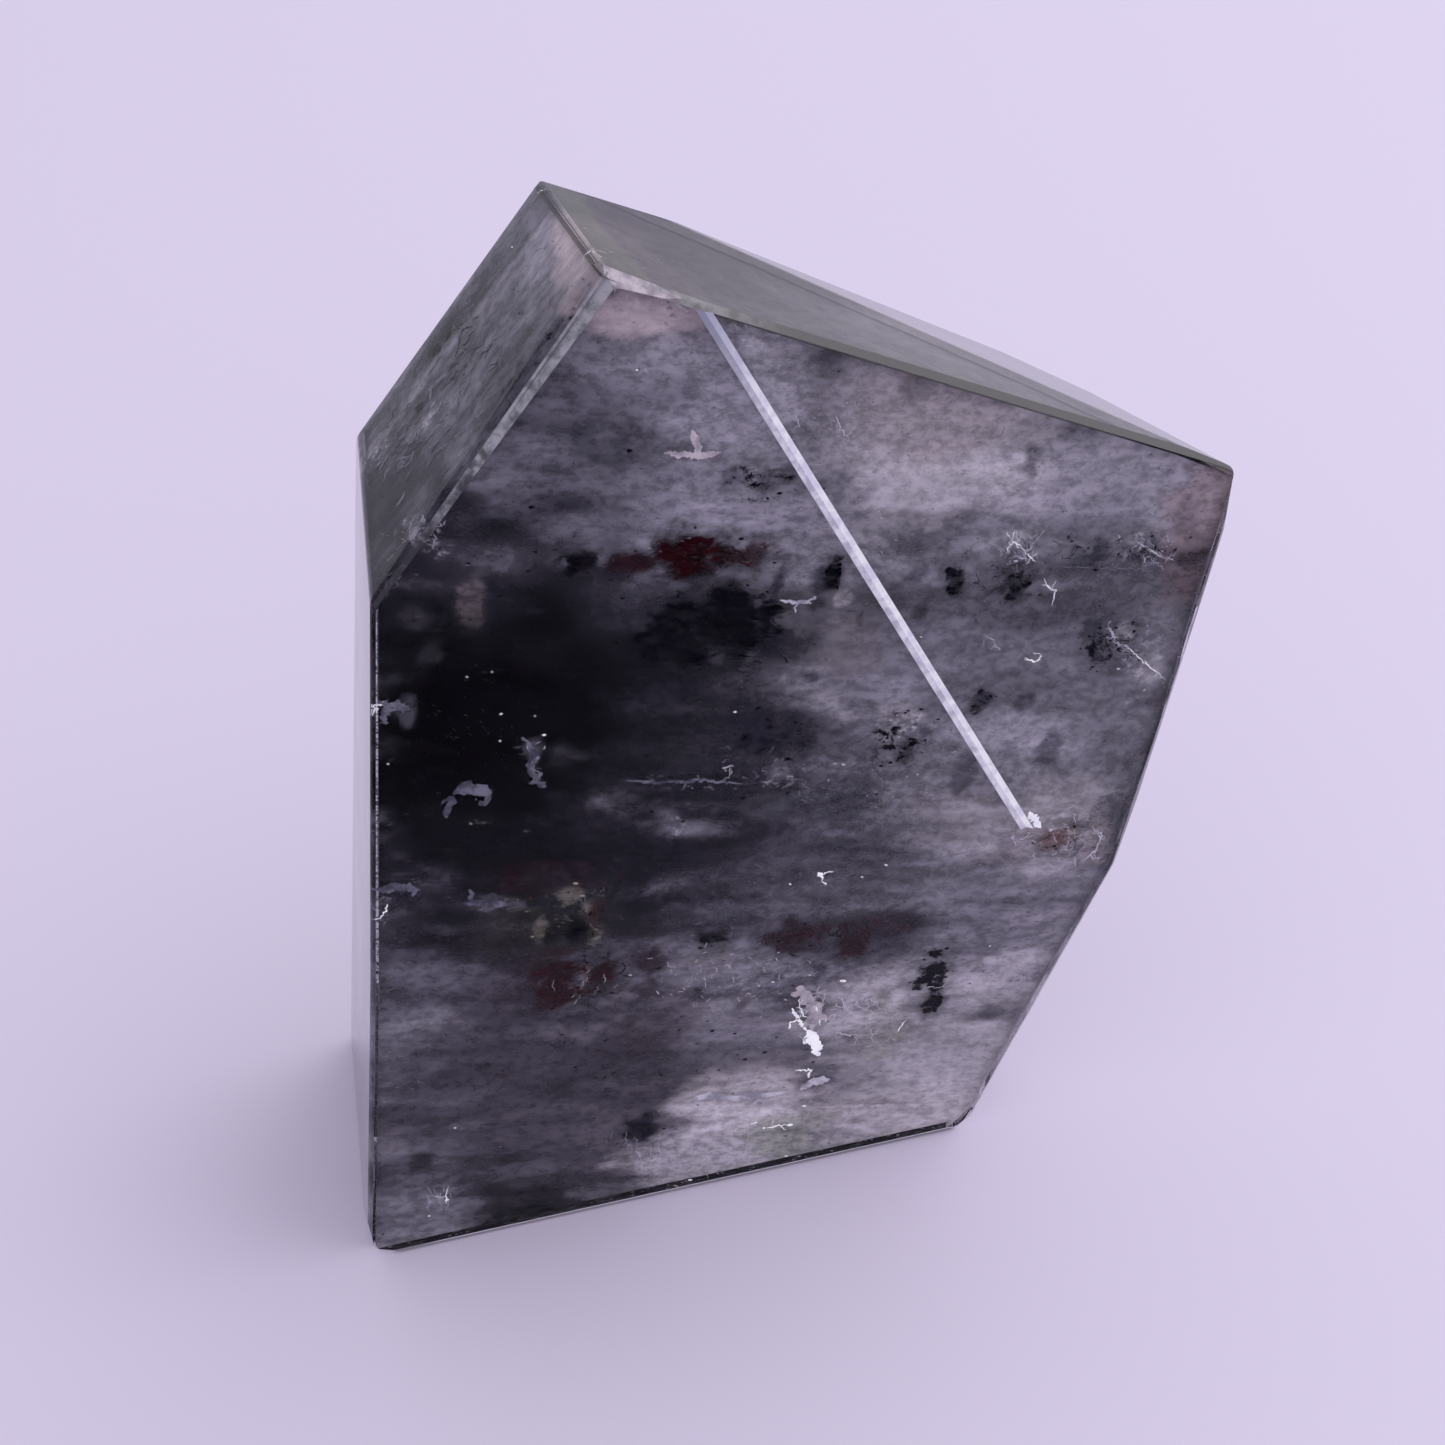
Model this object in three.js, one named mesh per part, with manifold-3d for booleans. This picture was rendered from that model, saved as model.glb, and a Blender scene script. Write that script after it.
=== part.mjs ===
// A standing freeform of clear smoky quartz, ground flat facet by facet from one crystal and polished.
// Millimetres, +Z up. The origin lies on the base facet, straight under the stone's middle.
// +X runs to the right along the front bottom edge and +Y runs to the back.

import * as THREE from 'three';
import { mergeVertices } from 'three/addons/utils/BufferGeometryUtils.js';
import Module from 'manifold-3d';

// Every facet is one plane. It looks towards its facing, in degrees round the stone: 0 is the front,
// 90 the right and 180 the back. Its tilt is how far it looks up, and its reach is how far
// it stands from the heart, a point inside the stone at this height above the origin.
const HEART_HEIGHT = 27.25;
const FACETS = {
  base: { facing: 0, tilt: -90, reach: HEART_HEIGHT },
  frontLower: { facing: 0, tilt: 0, reach: 9 },
  frontUpper: { facing: -0.3, tilt: 8.8, reach: 8.37 },
  frontRight: { facing: 9.3, tilt: 13.2, reach: 10.72 },
  shoulder: { facing: -87.9, tilt: 40.4, reach: 25.83 },
  top: { facing: 101.4, tilt: 61.3, reach: 27.88 },
  topRear: { facing: 117.7, tilt: 54.9, reach: 27.55 },
  left: { facing: -96, tilt: 6.5, reach: 19.16 },
  rightUpper: { facing: 74.3, tilt: -15.6, reach: 25.58 },
  rightUnder: { facing: 78.4, tilt: -21.9, reach: 24.94 },
  rearCorner: { facing: 119.6, tilt: -1.1, reach: 26.1 },
  backLeft: { facing: -177.4, tilt: 2.5, reach: 9.42 },
  backRight: { facing: 156.7, tilt: -18, reach: 11.03 },
};

// The polishing wheel breaks each edge with one or two narrow strips, this wide in all.
const PLAIN_BEVEL = 0.3;
const BASE_BEVEL = 0.45;
const BEVELS = [
  { between: ['frontUpper', 'frontRight'], width: 0.65, strips: 2 },
  { between: ['frontRight', 'top'], width: 0.5, strips: 1 },
  { between: ['frontUpper', 'top'], width: 0.6, strips: 2 },
  { between: ['shoulder', 'top'], width: 0.5, strips: 2 },
  { between: ['left', 'frontUpper'], width: 0.4, strips: 2 },
  { between: ['left', 'frontLower'], width: 0.4, strips: 2 },
  { between: ['left', 'shoulder'], width: 0.5, strips: 2 },
  { between: ['frontLower', 'frontUpper'], width: PLAIN_BEVEL, strips: 1 },
  { between: ['frontLower', 'frontRight'], width: PLAIN_BEVEL, strips: 1 },
  { between: ['frontLower', 'rightUnder'], width: PLAIN_BEVEL, strips: 1 },
  { between: ['frontRight', 'rightUnder'], width: PLAIN_BEVEL, strips: 1 },
  { between: ['frontRight', 'rightUpper'], width: PLAIN_BEVEL, strips: 1 },
  { between: ['frontRight', 'topRear'], width: PLAIN_BEVEL, strips: 1 },
  { between: ['top', 'topRear'], width: PLAIN_BEVEL, strips: 1 },
  { between: ['top', 'backLeft'], width: PLAIN_BEVEL, strips: 1 },
  { between: ['topRear', 'backLeft'], width: PLAIN_BEVEL, strips: 1 },
  { between: ['topRear', 'backRight'], width: PLAIN_BEVEL, strips: 1 },
  { between: ['topRear', 'rightUpper'], width: PLAIN_BEVEL, strips: 1 },
  { between: ['topRear', 'rearCorner'], width: PLAIN_BEVEL, strips: 1 },
  { between: ['rearCorner', 'backRight'], width: PLAIN_BEVEL, strips: 1 },
  { between: ['rightUpper', 'rearCorner'], width: PLAIN_BEVEL, strips: 1 },
  { between: ['rightUpper', 'backRight'], width: PLAIN_BEVEL, strips: 1 },
  { between: ['rightUpper', 'rightUnder'], width: PLAIN_BEVEL, strips: 1 },
  { between: ['shoulder', 'backLeft'], width: PLAIN_BEVEL, strips: 1 },
  { between: ['left', 'backLeft'], width: PLAIN_BEVEL, strips: 1 },
  { between: ['backLeft', 'backRight'], width: PLAIN_BEVEL, strips: 1 },
  { between: ['backRight', 'rightUnder'], width: PLAIN_BEVEL, strips: 1 },
  { between: ['base', 'frontLower'], width: BASE_BEVEL, strips: 1 },
  { between: ['base', 'left'], width: BASE_BEVEL, strips: 1 },
  { between: ['base', 'backLeft'], width: BASE_BEVEL, strips: 1 },
  { between: ['base', 'backRight'], width: BASE_BEVEL, strips: 1 },
  { between: ['base', 'rightUnder'], width: BASE_BEVEL, strips: 1 },
];

// The edge under the shoulder is broken wider at its peak than where it fades out on the left.
const TAPERED_BEVEL = {
  between: ['frontUpper', 'shoulder'],
  wideEnd: { facet: 'top', width: 1.7 },
  narrowEnd: { facet: 'left', width: 0.5 },
  strips: 2,
};

// Corners that are ground or worn off: a small plane this deep below the corner where three facets meet.
const WORN_CORNERS = [
  { at: ['shoulder', 'left', 'backLeft'], facing: -128, tilt: 32, depth: 0.75 },
  { at: ['base', 'left', 'frontLower'], facing: -75, tilt: -32, depth: 0.65 },
  { at: ['base', 'rightUnder', 'frontLower'], facing: 80, tilt: -45, depth: 0.6 },
  { at: ['frontRight', 'topRear', 'rightUpper'], facing: 70, tilt: 22, depth: 0.32 },
  { at: ['frontRight', 'topRear', 'rightUpper'], facing: 72, tilt: -2, depth: 0.3 },
  { at: ['shoulder', 'top', 'backLeft'], facing: -160, tilt: 50, depth: 0.2 },
  { at: ['frontLower', 'frontUpper', 'frontRight'], facing: 4, tilt: 8, depth: 0.04 },
  { at: ['frontLower', 'frontRight', 'rightUnder'], facing: 45, tilt: -4, depth: 0.15 },
  { at: ['frontUpper', 'top', 'frontRight'], facing: 20, tilt: 45, depth: 0.15 },
  { at: ['frontLower', 'frontUpper', 'left'], facing: -48, tilt: 5, depth: 0.1 },
];

// Small shell-shaped chips: a ball that bites this deep into a corner or an edge.
const CHIP_BALL_DETAIL = 7;
const CHIPS = [
  { at: ['frontUpper', 'shoulder', 'top'], facing: -30, tilt: 60, radius: 1.5, depth: 0.42 },
  { at: ['base', 'left', 'backLeft'], facing: -140, tilt: -35, radius: 1.8, depth: 0.5 },
];

// The rough block that the facets are cut from, and the tool block whose one side does each cut
const ROUGH = { width: 90, depth: 60, height: 100 };
const TOOL_SIZE = 160;

const wasm = await Module();
wasm.setup();

// Geometry of a closed shape as a solid that can be joined and cut
function solidFrom(geometry) {
  const shape = geometry.clone();
  shape.deleteAttribute('normal');
  shape.deleteAttribute('uv');
  const merged = mergeVertices(shape);
  const mesh = new wasm.Mesh({
    numProp: 3,
    vertProperties: new Float32Array(merged.attributes.position.array),
    triVerts: new Uint32Array(merged.index.array),
  });
  return new wasm.Manifold(mesh);
}

// A solid back as flat-shaded geometry
function geometryFrom(solid) {
  const mesh = solid.getMesh();
  const geometry = new THREE.BufferGeometry();
  geometry.setAttribute('position', new THREE.BufferAttribute(new Float32Array(mesh.vertProperties), 3));
  geometry.setIndex(new THREE.BufferAttribute(new Uint32Array(mesh.triVerts), 1));
  const flat = geometry.toNonIndexed();
  flat.computeVertexNormals();
  return flat;
}

const heart = new THREE.Vector3(0, 0, HEART_HEIGHT);

// The direction that a plane with this facing and tilt looks in
function outward(facing, tilt) {
  const turn = THREE.MathUtils.degToRad(facing);
  const rise = THREE.MathUtils.degToRad(tilt);
  return new THREE.Vector3(
    Math.sin(turn) * Math.cos(rise),
    -Math.cos(turn) * Math.cos(rise),
    Math.sin(rise),
  );
}

// A facet's plane, as its outward normal and one point on it
function facetPlane(name) {
  const { facing, tilt, reach } = FACETS[name];
  const normal = outward(facing, tilt);
  return { normal, point: heart.clone().addScaledVector(normal, reach) };
}

// The point where three planes meet
function meetingPoint(planes) {
  const [a, b, c] = planes;
  const bc = new THREE.Vector3().crossVectors(b.normal, c.normal);
  const ca = new THREE.Vector3().crossVectors(c.normal, a.normal);
  const ab = new THREE.Vector3().crossVectors(a.normal, b.normal);
  return new THREE.Vector3()
    .addScaledVector(bc, a.normal.dot(a.point))
    .addScaledVector(ca, b.normal.dot(b.point))
    .addScaledVector(ab, c.normal.dot(c.point))
    .divideScalar(a.normal.dot(bc));
}

// Everything on the outer side of a plane, as a block with one side on the plane
function outerSide({ normal, point }) {
  const block = new THREE.BoxGeometry(TOOL_SIZE, TOOL_SIZE, TOOL_SIZE);
  block.translate(0, 0, TOOL_SIZE / 2);
  const up = new THREE.Vector3(0, 0, 1);
  block.applyQuaternion(new THREE.Quaternion().setFromUnitVectors(up, normal));
  block.translate(point.x, point.y, point.z);
  return solidFrom(block);
}

// How far below an edge each of the strips lies that round it off to the given width
function stripDrop(width, bend, strips, share) {
  const radius = width / (2 * strips * Math.tan(bend / (2 * (strips + 1))));
  return radius * (Math.cos(bend * (share - 0.5)) / Math.cos(bend / 2) - 1);
}

// The planes of a bevel between two facets, whose width may change from one end of the edge to the other
function bevelPlanes({ between, strips }, start, end) {
  const [first, second] = between.map(facetPlane);
  const bend = first.normal.angleTo(second.normal);
  const planes = [];
  for (let strip = 1; strip <= strips; strip += 1) {
    const share = strip / (strips + 1);
    const aim = first.normal.clone().multiplyScalar(Math.sin(bend * (1 - share)));
    aim.addScaledVector(second.normal, Math.sin(bend * share)).normalize();
    const [from, to] = [start, end].map(({ point, width }) =>
      point.clone().addScaledVector(aim, -stripDrop(width, bend, strips, share)),
    );
    const along = to.clone().sub(from).normalize();
    const normal = aim.clone().addScaledVector(along, -aim.dot(along)).normalize();
    planes.push({ normal, point: from });
  }
  return planes;
}

// The planes of a bevel that keeps its width
function evenBevelPlanes(bevel) {
  const [first, second] = bevel.between.map(facetPlane);
  const direction = new THREE.Vector3().crossVectors(first.normal, second.normal).normalize();
  const middle = meetingPoint([first, second, { normal: direction, point: heart }]);
  const further = middle.clone().add(direction);
  const { width } = bevel;
  return bevelPlanes(bevel, { point: middle, width }, { point: further, width });
}

// The planes of the bevel that is wider at one end
function taperedBevelPlanes(bevel) {
  const [start, end] = [bevel.wideEnd, bevel.narrowEnd].map(({ facet, width }) => ({
    point: meetingPoint([...bevel.between, facet].map(facetPlane)),
    width,
  }));
  return bevelPlanes(bevel, start, end);
}

function wornCornerPlane({ at, facing, tilt, depth }) {
  const normal = outward(facing, tilt);
  const corner = meetingPoint(at.map(facetPlane));
  return { normal, point: corner.addScaledVector(normal, -depth) };
}

// The ball that takes a chip out of a corner
function chipBall({ at, facing, tilt, radius, depth }) {
  const ball = new THREE.IcosahedronGeometry(radius, CHIP_BALL_DETAIL);
  const centre = meetingPoint(at.map(facetPlane)).addScaledVector(outward(facing, tilt), radius - depth);
  ball.translate(centre.x, centre.y, centre.z);
  return solidFrom(ball);
}

function cutStone() {
  const block = new THREE.BoxGeometry(ROUGH.width, ROUGH.depth, ROUGH.height);
  block.translate(0, 0, ROUGH.height / 2 - HEART_HEIGHT / 2);
  const planes = [
    ...Object.keys(FACETS).map(facetPlane),
    ...BEVELS.flatMap(evenBevelPlanes),
    ...taperedBevelPlanes(TAPERED_BEVEL),
    ...WORN_CORNERS.map(wornCornerPlane),
  ];
  let stone = solidFrom(block);
  for (const plane of planes) {
    stone = stone.subtract(outerSide(plane));
  }
  for (const chip of CHIPS) {
    stone = stone.subtract(chipBall(chip));
  }
  return stone;
}

const smokyQuartz = new THREE.MeshStandardMaterial({
  color: 0x6a6570,
  roughness: 0.05,
  metalness: 0,
  transparent: true,
  opacity: 0.6,
});

const stoneMesh = new THREE.Mesh(geometryFrom(cutStone()), smokyQuartz);
stoneMesh.name = 'quartz_freeform';

const freeform = new THREE.Group();
freeform.add(stoneMesh);

export default freeform;
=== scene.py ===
# Garden quartz freeform: clear smoky stone, ground edges, veils and mineral wisps inside.
import math
import bmesh
import bpy
import numpy as np
from mathutils import Matrix, Vector
from mathutils.bvhtree import BVHTree


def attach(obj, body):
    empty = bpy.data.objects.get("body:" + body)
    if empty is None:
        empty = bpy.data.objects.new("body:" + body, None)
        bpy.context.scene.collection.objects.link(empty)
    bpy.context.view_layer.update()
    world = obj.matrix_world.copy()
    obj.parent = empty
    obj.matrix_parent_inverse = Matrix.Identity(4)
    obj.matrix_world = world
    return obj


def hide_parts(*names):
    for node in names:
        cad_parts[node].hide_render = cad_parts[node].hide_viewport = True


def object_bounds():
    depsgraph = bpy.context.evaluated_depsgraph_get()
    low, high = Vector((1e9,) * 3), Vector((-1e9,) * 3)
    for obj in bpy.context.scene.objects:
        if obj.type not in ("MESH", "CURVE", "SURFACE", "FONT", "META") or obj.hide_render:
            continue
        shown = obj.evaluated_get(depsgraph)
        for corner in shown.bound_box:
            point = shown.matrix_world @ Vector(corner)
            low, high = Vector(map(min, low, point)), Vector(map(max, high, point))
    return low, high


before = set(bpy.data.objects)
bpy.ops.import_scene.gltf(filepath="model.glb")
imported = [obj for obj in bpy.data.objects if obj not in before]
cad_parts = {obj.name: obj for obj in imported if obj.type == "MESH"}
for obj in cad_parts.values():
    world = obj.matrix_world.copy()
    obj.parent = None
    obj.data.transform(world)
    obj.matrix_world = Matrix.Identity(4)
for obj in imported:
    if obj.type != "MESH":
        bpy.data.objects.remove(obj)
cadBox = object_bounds()
mm = 0.001
photoSize = 1445  # pixels along each side of the square photograph
quartzIor = 1.544

# The camera comes first, because the wisps are placed by what it sees through the facets.
portrait = {
    "place": (-26.911, -114.370, 129.073),  # mm
    "turn": (49.6795, 1.1908, -15.0502),  # degrees
    "lens": 67.18,
    "sensor": 36.0,
}


def makeCamera():
    data = bpy.data.cameras.new("portraitCamera")
    data.lens = portrait["lens"]
    data.sensor_width = portrait["sensor"]
    data.clip_start = 0.005
    camera = bpy.data.objects.new("portraitCamera", data)
    camera.location = Vector(portrait["place"]) * mm
    camera.rotation_euler = [math.radians(a) for a in portrait["turn"]]
    bpy.context.scene.collection.objects.link(camera)
    bpy.context.scene.camera = camera
    bpy.context.view_layer.update()
    return camera


camera = makeCamera()
print("camera placed")


# Small helpers for shader trees
def newMaterial(name):
    material = bpy.data.materials.new(name)
    material.use_nodes = True
    tree = material.node_tree
    shader = tree.nodes["Principled BSDF"]
    output = tree.nodes["Material Output"]
    return material, tree, shader, output


def addNode(tree, kind, **values):
    node = tree.nodes.new(kind)
    for key, value in values.items():
        if key in node.inputs:
            node.inputs[key].default_value = value
        else:
            setattr(node, key, value)
    return node


def addMaths(tree, operation, first, second=None, clamp=False):
    node = tree.nodes.new("ShaderNodeMath")
    node.operation = operation
    node.use_clamp = clamp
    for socket, value in zip(node.inputs, (first, second)):
        if isinstance(value, (int, float)):
            socket.default_value = value
        elif value is not None:
            tree.links.new(value, socket)
    return node.outputs[0]


def addRange(tree, value, low, high, toLow=0.0, toHigh=1.0):
    node = tree.nodes.new("ShaderNodeMapRange")
    node.interpolation_type = "SMOOTHSTEP"
    tree.links.new(value, node.inputs["Value"])
    for name, number in (("From Min", low), ("From Max", high), ("To Min", toLow), ("To Max", toHigh)):
        node.inputs[name].default_value = number
    return node.outputs["Result"]


def addMix(tree, share, first, second):
    node = tree.nodes.new("ShaderNodeMix")
    node.data_type = "RGBA"
    for name, value in (("Factor", share), ("A", first), ("B", second)):
        socket = [s for s in node.inputs if s.name == name and s.enabled][0]
        if isinstance(value, (int, float, tuple)):
            socket.default_value = value
        else:
            tree.links.new(value, socket)
    return [s for s in node.outputs if s.enabled][0]


def tone(red, green, blue):
    # A colour given as the screen shows it, 0 to 255, as the shader wants it
    def linear(part):
        part = part / 255
        return part / 12.92 if part <= 0.04045 else ((part + 0.055) / 1.055) ** 2.4

    return (linear(red), linear(green), linear(blue), 1.0)


# The stone itself
stoneLook = {
    "facetFrom": 12.0,  # mm2, smaller faces are bevels and chips
    "stripUpTo": 80.0,  # mm2, larger faces are facets, and never ground
    "stripLean": 1.0,  # degrees that a strip may lean out of the turn from one facet to the other
    "stripFrom": 0.02,  # radians between a strip and either facet, at least
    "mergeWithin": 0.002,  # mm
    "flatWithin": 0.4,  # degrees between two faces of one facet
    "edgeRound": 0.05,  # mm
    "edgeSteps": 2,
    "roundFrom": 4.0,  # degrees
    "shortest": 0.45,  # mm, edges of the chips are shorter and keep their shape
}


# Corners rounded across the view, between two edges that look this many degrees round from the right
wornCorners = [
    dict(edges=(74, -21), cuts=4, radius=0.55),
    dict(edges=(-77, -180), cuts=3, radius=0.65),
]


def cleanStone():
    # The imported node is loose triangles, so this copy is merged into whole facets first.
    bm = bmesh.new()
    bm.from_mesh(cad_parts["quartz_freeform"].data)
    bmesh.ops.remove_doubles(bm, verts=bm.verts, dist=stoneLook["mergeWithin"] * mm)
    bmesh.ops.dissolve_limit(
        bm, angle_limit=math.radians(stoneLook["flatWithin"]), verts=bm.verts, edges=bm.edges, delimit=set()
    )
    bmesh.ops.recalc_face_normals(bm, faces=bm.faces)
    return bm


def wearCorner(bm, corner):
    # Small flat cuts wear a corner round, as it has lost most where it stands out most.
    view = camera.matrix_world
    points = [v.co.copy() for v in bm.verts]

    def sides(forward):
        across = view.to_3x3() @ Vector((1, 0, 0))
        across = (across - forward * across.dot(forward)).normalized()
        return across, across.cross(forward)

    def waysFrom(forward, angle):
        across, upward = sides(forward)
        return across * math.cos(math.radians(angle)) + upward * math.sin(math.radians(angle))

    def standsOut(point):
        ray = point - view.translation
        middle = math.radians(sum(corner["edges"]) / 2)
        local = view.to_3x3().transposed() @ ray
        return (local.x * math.cos(middle) + local.y * math.sin(middle)) / -local.z

    tip = max(points, key=standsOut)
    forward = (tip - view.translation).normalized()
    first, last = [waysFrom(forward, angle) for angle in corner["edges"]]
    radius = corner["radius"] * mm
    heart = tip - (first + last) * (radius / (1 + first.dot(last)))
    planes = []
    for cut in range(corner["cuts"]):
        share = (cut + 0.5) / corner["cuts"]
        way = waysFrom(forward, corner["edges"][0] + (corner["edges"][1] - corner["edges"][0]) * share)
        found = bmesh.ops.bisect_plane(
            bm, geom=bm.verts[:] + bm.edges[:] + bm.faces[:], dist=1e-7,
            plane_co=heart + way * radius, plane_no=way, clear_outer=True,
        )
        rim = [part for part in found["geom_cut"] if isinstance(part, bmesh.types.BMEdge)]
        if rim:
            bmesh.ops.edgeloop_fill(bm, edges=rim)
            planes.append((way, way.dot(heart) + radius))
    bmesh.ops.recalc_face_normals(bm, faces=bm.faces)
    print("corner worn", [round(c / mm, 2) for c in tip], len(planes), "cuts")
    return planes


stoneShape = cleanStone()
wornPlanes = [plane for corner in wornCorners for plane in wearCorner(stoneShape, corner)]
stoneTree = BVHTree.FromBMesh(stoneShape)
facets = [f for f in stoneShape.faces if f.calc_area() > stoneLook["facetFrom"] * mm * mm]
facetNormals = np.array([f.normal for f in facets])
facetReaches = np.array([f.normal.dot(f.verts[0].co) for f in facets])
trimNormals = np.array([*facetNormals, *[way for way, _ in wornPlanes]])
trimReaches = np.array([*facetReaches, *[reach for _, reach in wornPlanes]])
slabLean = 0.4  # facets that look less than this along Y aren't the slab's front or back


def isInside(points, skin):
    # points in metres, skin in mm under the facets
    return (points @ trimNormals.T < trimReaches - skin * mm).all(axis=1)


def slabSides(spots):
    # Where the slab's front and back lie at these places, as y in metres
    front, back = np.full(len(spots), -1.0), np.full(len(spots), 1.0)
    for normal, reach in zip(facetNormals, facetReaches):
        if abs(normal[1]) < slabLean:
            continue
        y = (reach - normal[0] * spots[:, 0] - normal[2] * spots[:, 2]) / normal[1]
        if normal[1] < 0:
            front = np.maximum(front, y)
        else:
            back = np.minimum(back, y)
    return front, back


def seenAt(pixel, depth):
    # The place at this depth in mm under the facet that the camera meets at a pixel of the photograph
    focal = portrait["lens"] / portrait["sensor"] * photoSize
    across = (pixel[0] - photoSize / 2) / focal
    down = (pixel[1] - photoSize / 2) / focal
    world = camera.matrix_world
    way = (world.to_3x3() @ Vector((across, -down, -1.0))).normalized()
    place, normal, _, _ = stoneTree.ray_cast(world.translation, way)
    if place is None:
        raise ValueError(f"pixel {pixel} misses the stone")
    bend = 1 / quartzIor
    cosine = -normal.dot(way)
    inside = bend * way + (bend * cosine - math.sqrt(1 - bend * bend * (1 - cosine * cosine))) * normal
    return place + inside * (depth * mm / -normal.dot(inside))


def finishPiece(name, bm, materials, slotName):
    mesh = bpy.data.meshes.new(name)
    bm.to_mesh(mesh)
    bm.free()
    piece = bpy.data.objects.new(name, mesh)
    bpy.context.scene.collection.objects.link(piece)
    for material in materials:
        mesh.materials.append(material)
    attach(piece, "root")
    return piece


quartzLook = {
    "rough": 0.02,
    "specularTint": (0.05, 0.05, 0.055, 1),
    "waves": dict(Scale=90.0, Detail=1.0, Roughness=0.4),  # what the polishing wheel left
    "waveHeight": 0.0004,
    "waveStrength": 0.06,
    "smoke": dict(Color=(0.62, 0.60, 0.64, 1), Density=75.0),
}


def quartzMaterial():
    # Polished faces: glass that bends the view, and lets lamps and diffuse light reach the wisps inside
    material, tree, shader, output = newMaterial("polishedQuartz")
    shader.inputs["Base Color"].default_value = (1, 1, 1, 1)
    shader.inputs["Transmission Weight"].default_value = 1.0
    shader.inputs["IOR"].default_value = quartzIor
    shader.inputs["Roughness"].default_value = quartzLook["rough"]
    shader.inputs["Specular Tint"].default_value = quartzLook["specularTint"]
    coords = addNode(tree, "ShaderNodeTexCoord")
    waves = addNode(tree, "ShaderNodeTexNoise", **quartzLook["waves"])
    bump = addNode(
        tree, "ShaderNodeBump", Strength=quartzLook["waveStrength"], Distance=quartzLook["waveHeight"]
    )
    tree.links.new(coords.outputs["Object"], waves.inputs["Vector"])
    tree.links.new(waves.outputs["Fac"], bump.inputs["Height"])
    tree.links.new(bump.outputs["Normal"], shader.inputs["Normal"])
    smoke = addNode(tree, "ShaderNodeVolumeAbsorption", **quartzLook["smoke"])
    tree.links.new(smoke.outputs["Volume"], output.inputs["Volume"])
    letLampsThrough(tree, shader, output)
    return material


def letLampsThrough(tree, shader, output):
    path = addNode(tree, "ShaderNodeLightPath")
    clear = addNode(tree, "ShaderNodeBsdfTransparent")
    lamps = addNode(tree, "ShaderNodeMixShader")
    tree.links.new(path.outputs["Is Shadow Ray"], lamps.inputs[0])
    tree.links.new(shader.outputs["BSDF"], lamps.inputs[1])
    tree.links.new(clear.outputs["BSDF"], lamps.inputs[2])
    soft = addNode(tree, "ShaderNodeMixShader")
    tree.links.new(path.outputs["Is Diffuse Ray"], soft.inputs[0])
    tree.links.new(lamps.outputs["Shader"], soft.inputs[1])
    tree.links.new(clear.outputs["BSDF"], soft.inputs[2])
    tree.links.new(soft.outputs["Shader"], output.inputs["Surface"])


# The wheel left the narrow strips along some edges ground, not polished. The strip along the base is grey
# and carries a painted contact shadow, darkest next to the floor.
facetLooks = {  # where each facet looks, in degrees round from the front and up
    "frontLower": (0, 0),
    "frontUpper": (-0.3, 8.8),
    "frontRight": (9.3, 13.2),
    "shoulder": (-87.9, 40.4),
    "top": (101.4, 61.3),
    "left": (-96, 6.5),
    "base": (0, -90),
}
# A fade leads from a tone to the finish's own, between two places along an axis in mm.
groundFinishes = {
    "chalky": dict(
        tones=(tone(226, 222, 238), tone(255, 255, 255)), rough=0.7,
        fade=dict(axis="Z", span=(60.0, 52.0), tone=tone(168, 168, 192)),
    ),
    "chalkyInner": dict(
        tones=(tone(186, 183, 198), tone(232, 229, 240)), rough=0.7,
        fade=dict(axis="Z", span=(60.0, 50.0), tone=tone(140, 140, 160)),
    ),
    "milky": dict(
        tones=(tone(150, 142, 150), tone(204, 194, 202)), rough=0.55,
        fade=dict(axis="X", span=(-8.2, -7.0), tone=tone(66, 62, 68), grit=3),
    ),
    "satin": dict(
        tones=(tone(122, 120, 120), tone(150, 148, 150)), rough=0.55,
        fade=dict(axis="X", span=(6.0, 0.0), tone=tone(104, 103, 102)),
    ),
    "dull": dict(
        tones=(tone(112, 112, 118), tone(166, 164, 172)), rough=0.55,
        fade=dict(axis="Z", span=(48.0, 54.5), tone=tone(58, 56, 64), grit=16),
    ),
    # Painted contact shadow: the base strip goes from grey to near black in its lowest tenths of a mm, next
    # to the floor.
    "paintedContactShadow": dict(
        tones=(tone(84, 76, 86), tone(132, 122, 134)), rough=0.6,
        fade=dict(axis="Z", span=(0.1, 0.26), tone=tone(20, 14, 20)),
    ),
}
groundEdges = [
    dict(between=("frontUpper", "frontRight"), finish="chalkyInner", nearest="frontUpper"),
    dict(between=("frontUpper", "frontRight"), finish="chalky", nearest=None),
    dict(between=("frontRight", "top"), finish="satin", nearest=None),
    dict(between=("frontUpper", "top"), finish="milky", nearest=None),
    dict(between=("frontUpper", "shoulder"), finish="dull", nearest="frontUpper"),
    dict(between=("frontLower", "base"), finish="paintedContactShadow", nearest=None),
]


def looksTo(name):
    facing, tilt = [math.radians(a) for a in facetLooks[name]]
    return Vector((math.sin(facing) * math.cos(tilt), -math.cos(facing) * math.cos(tilt), math.sin(tilt)))


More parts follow.
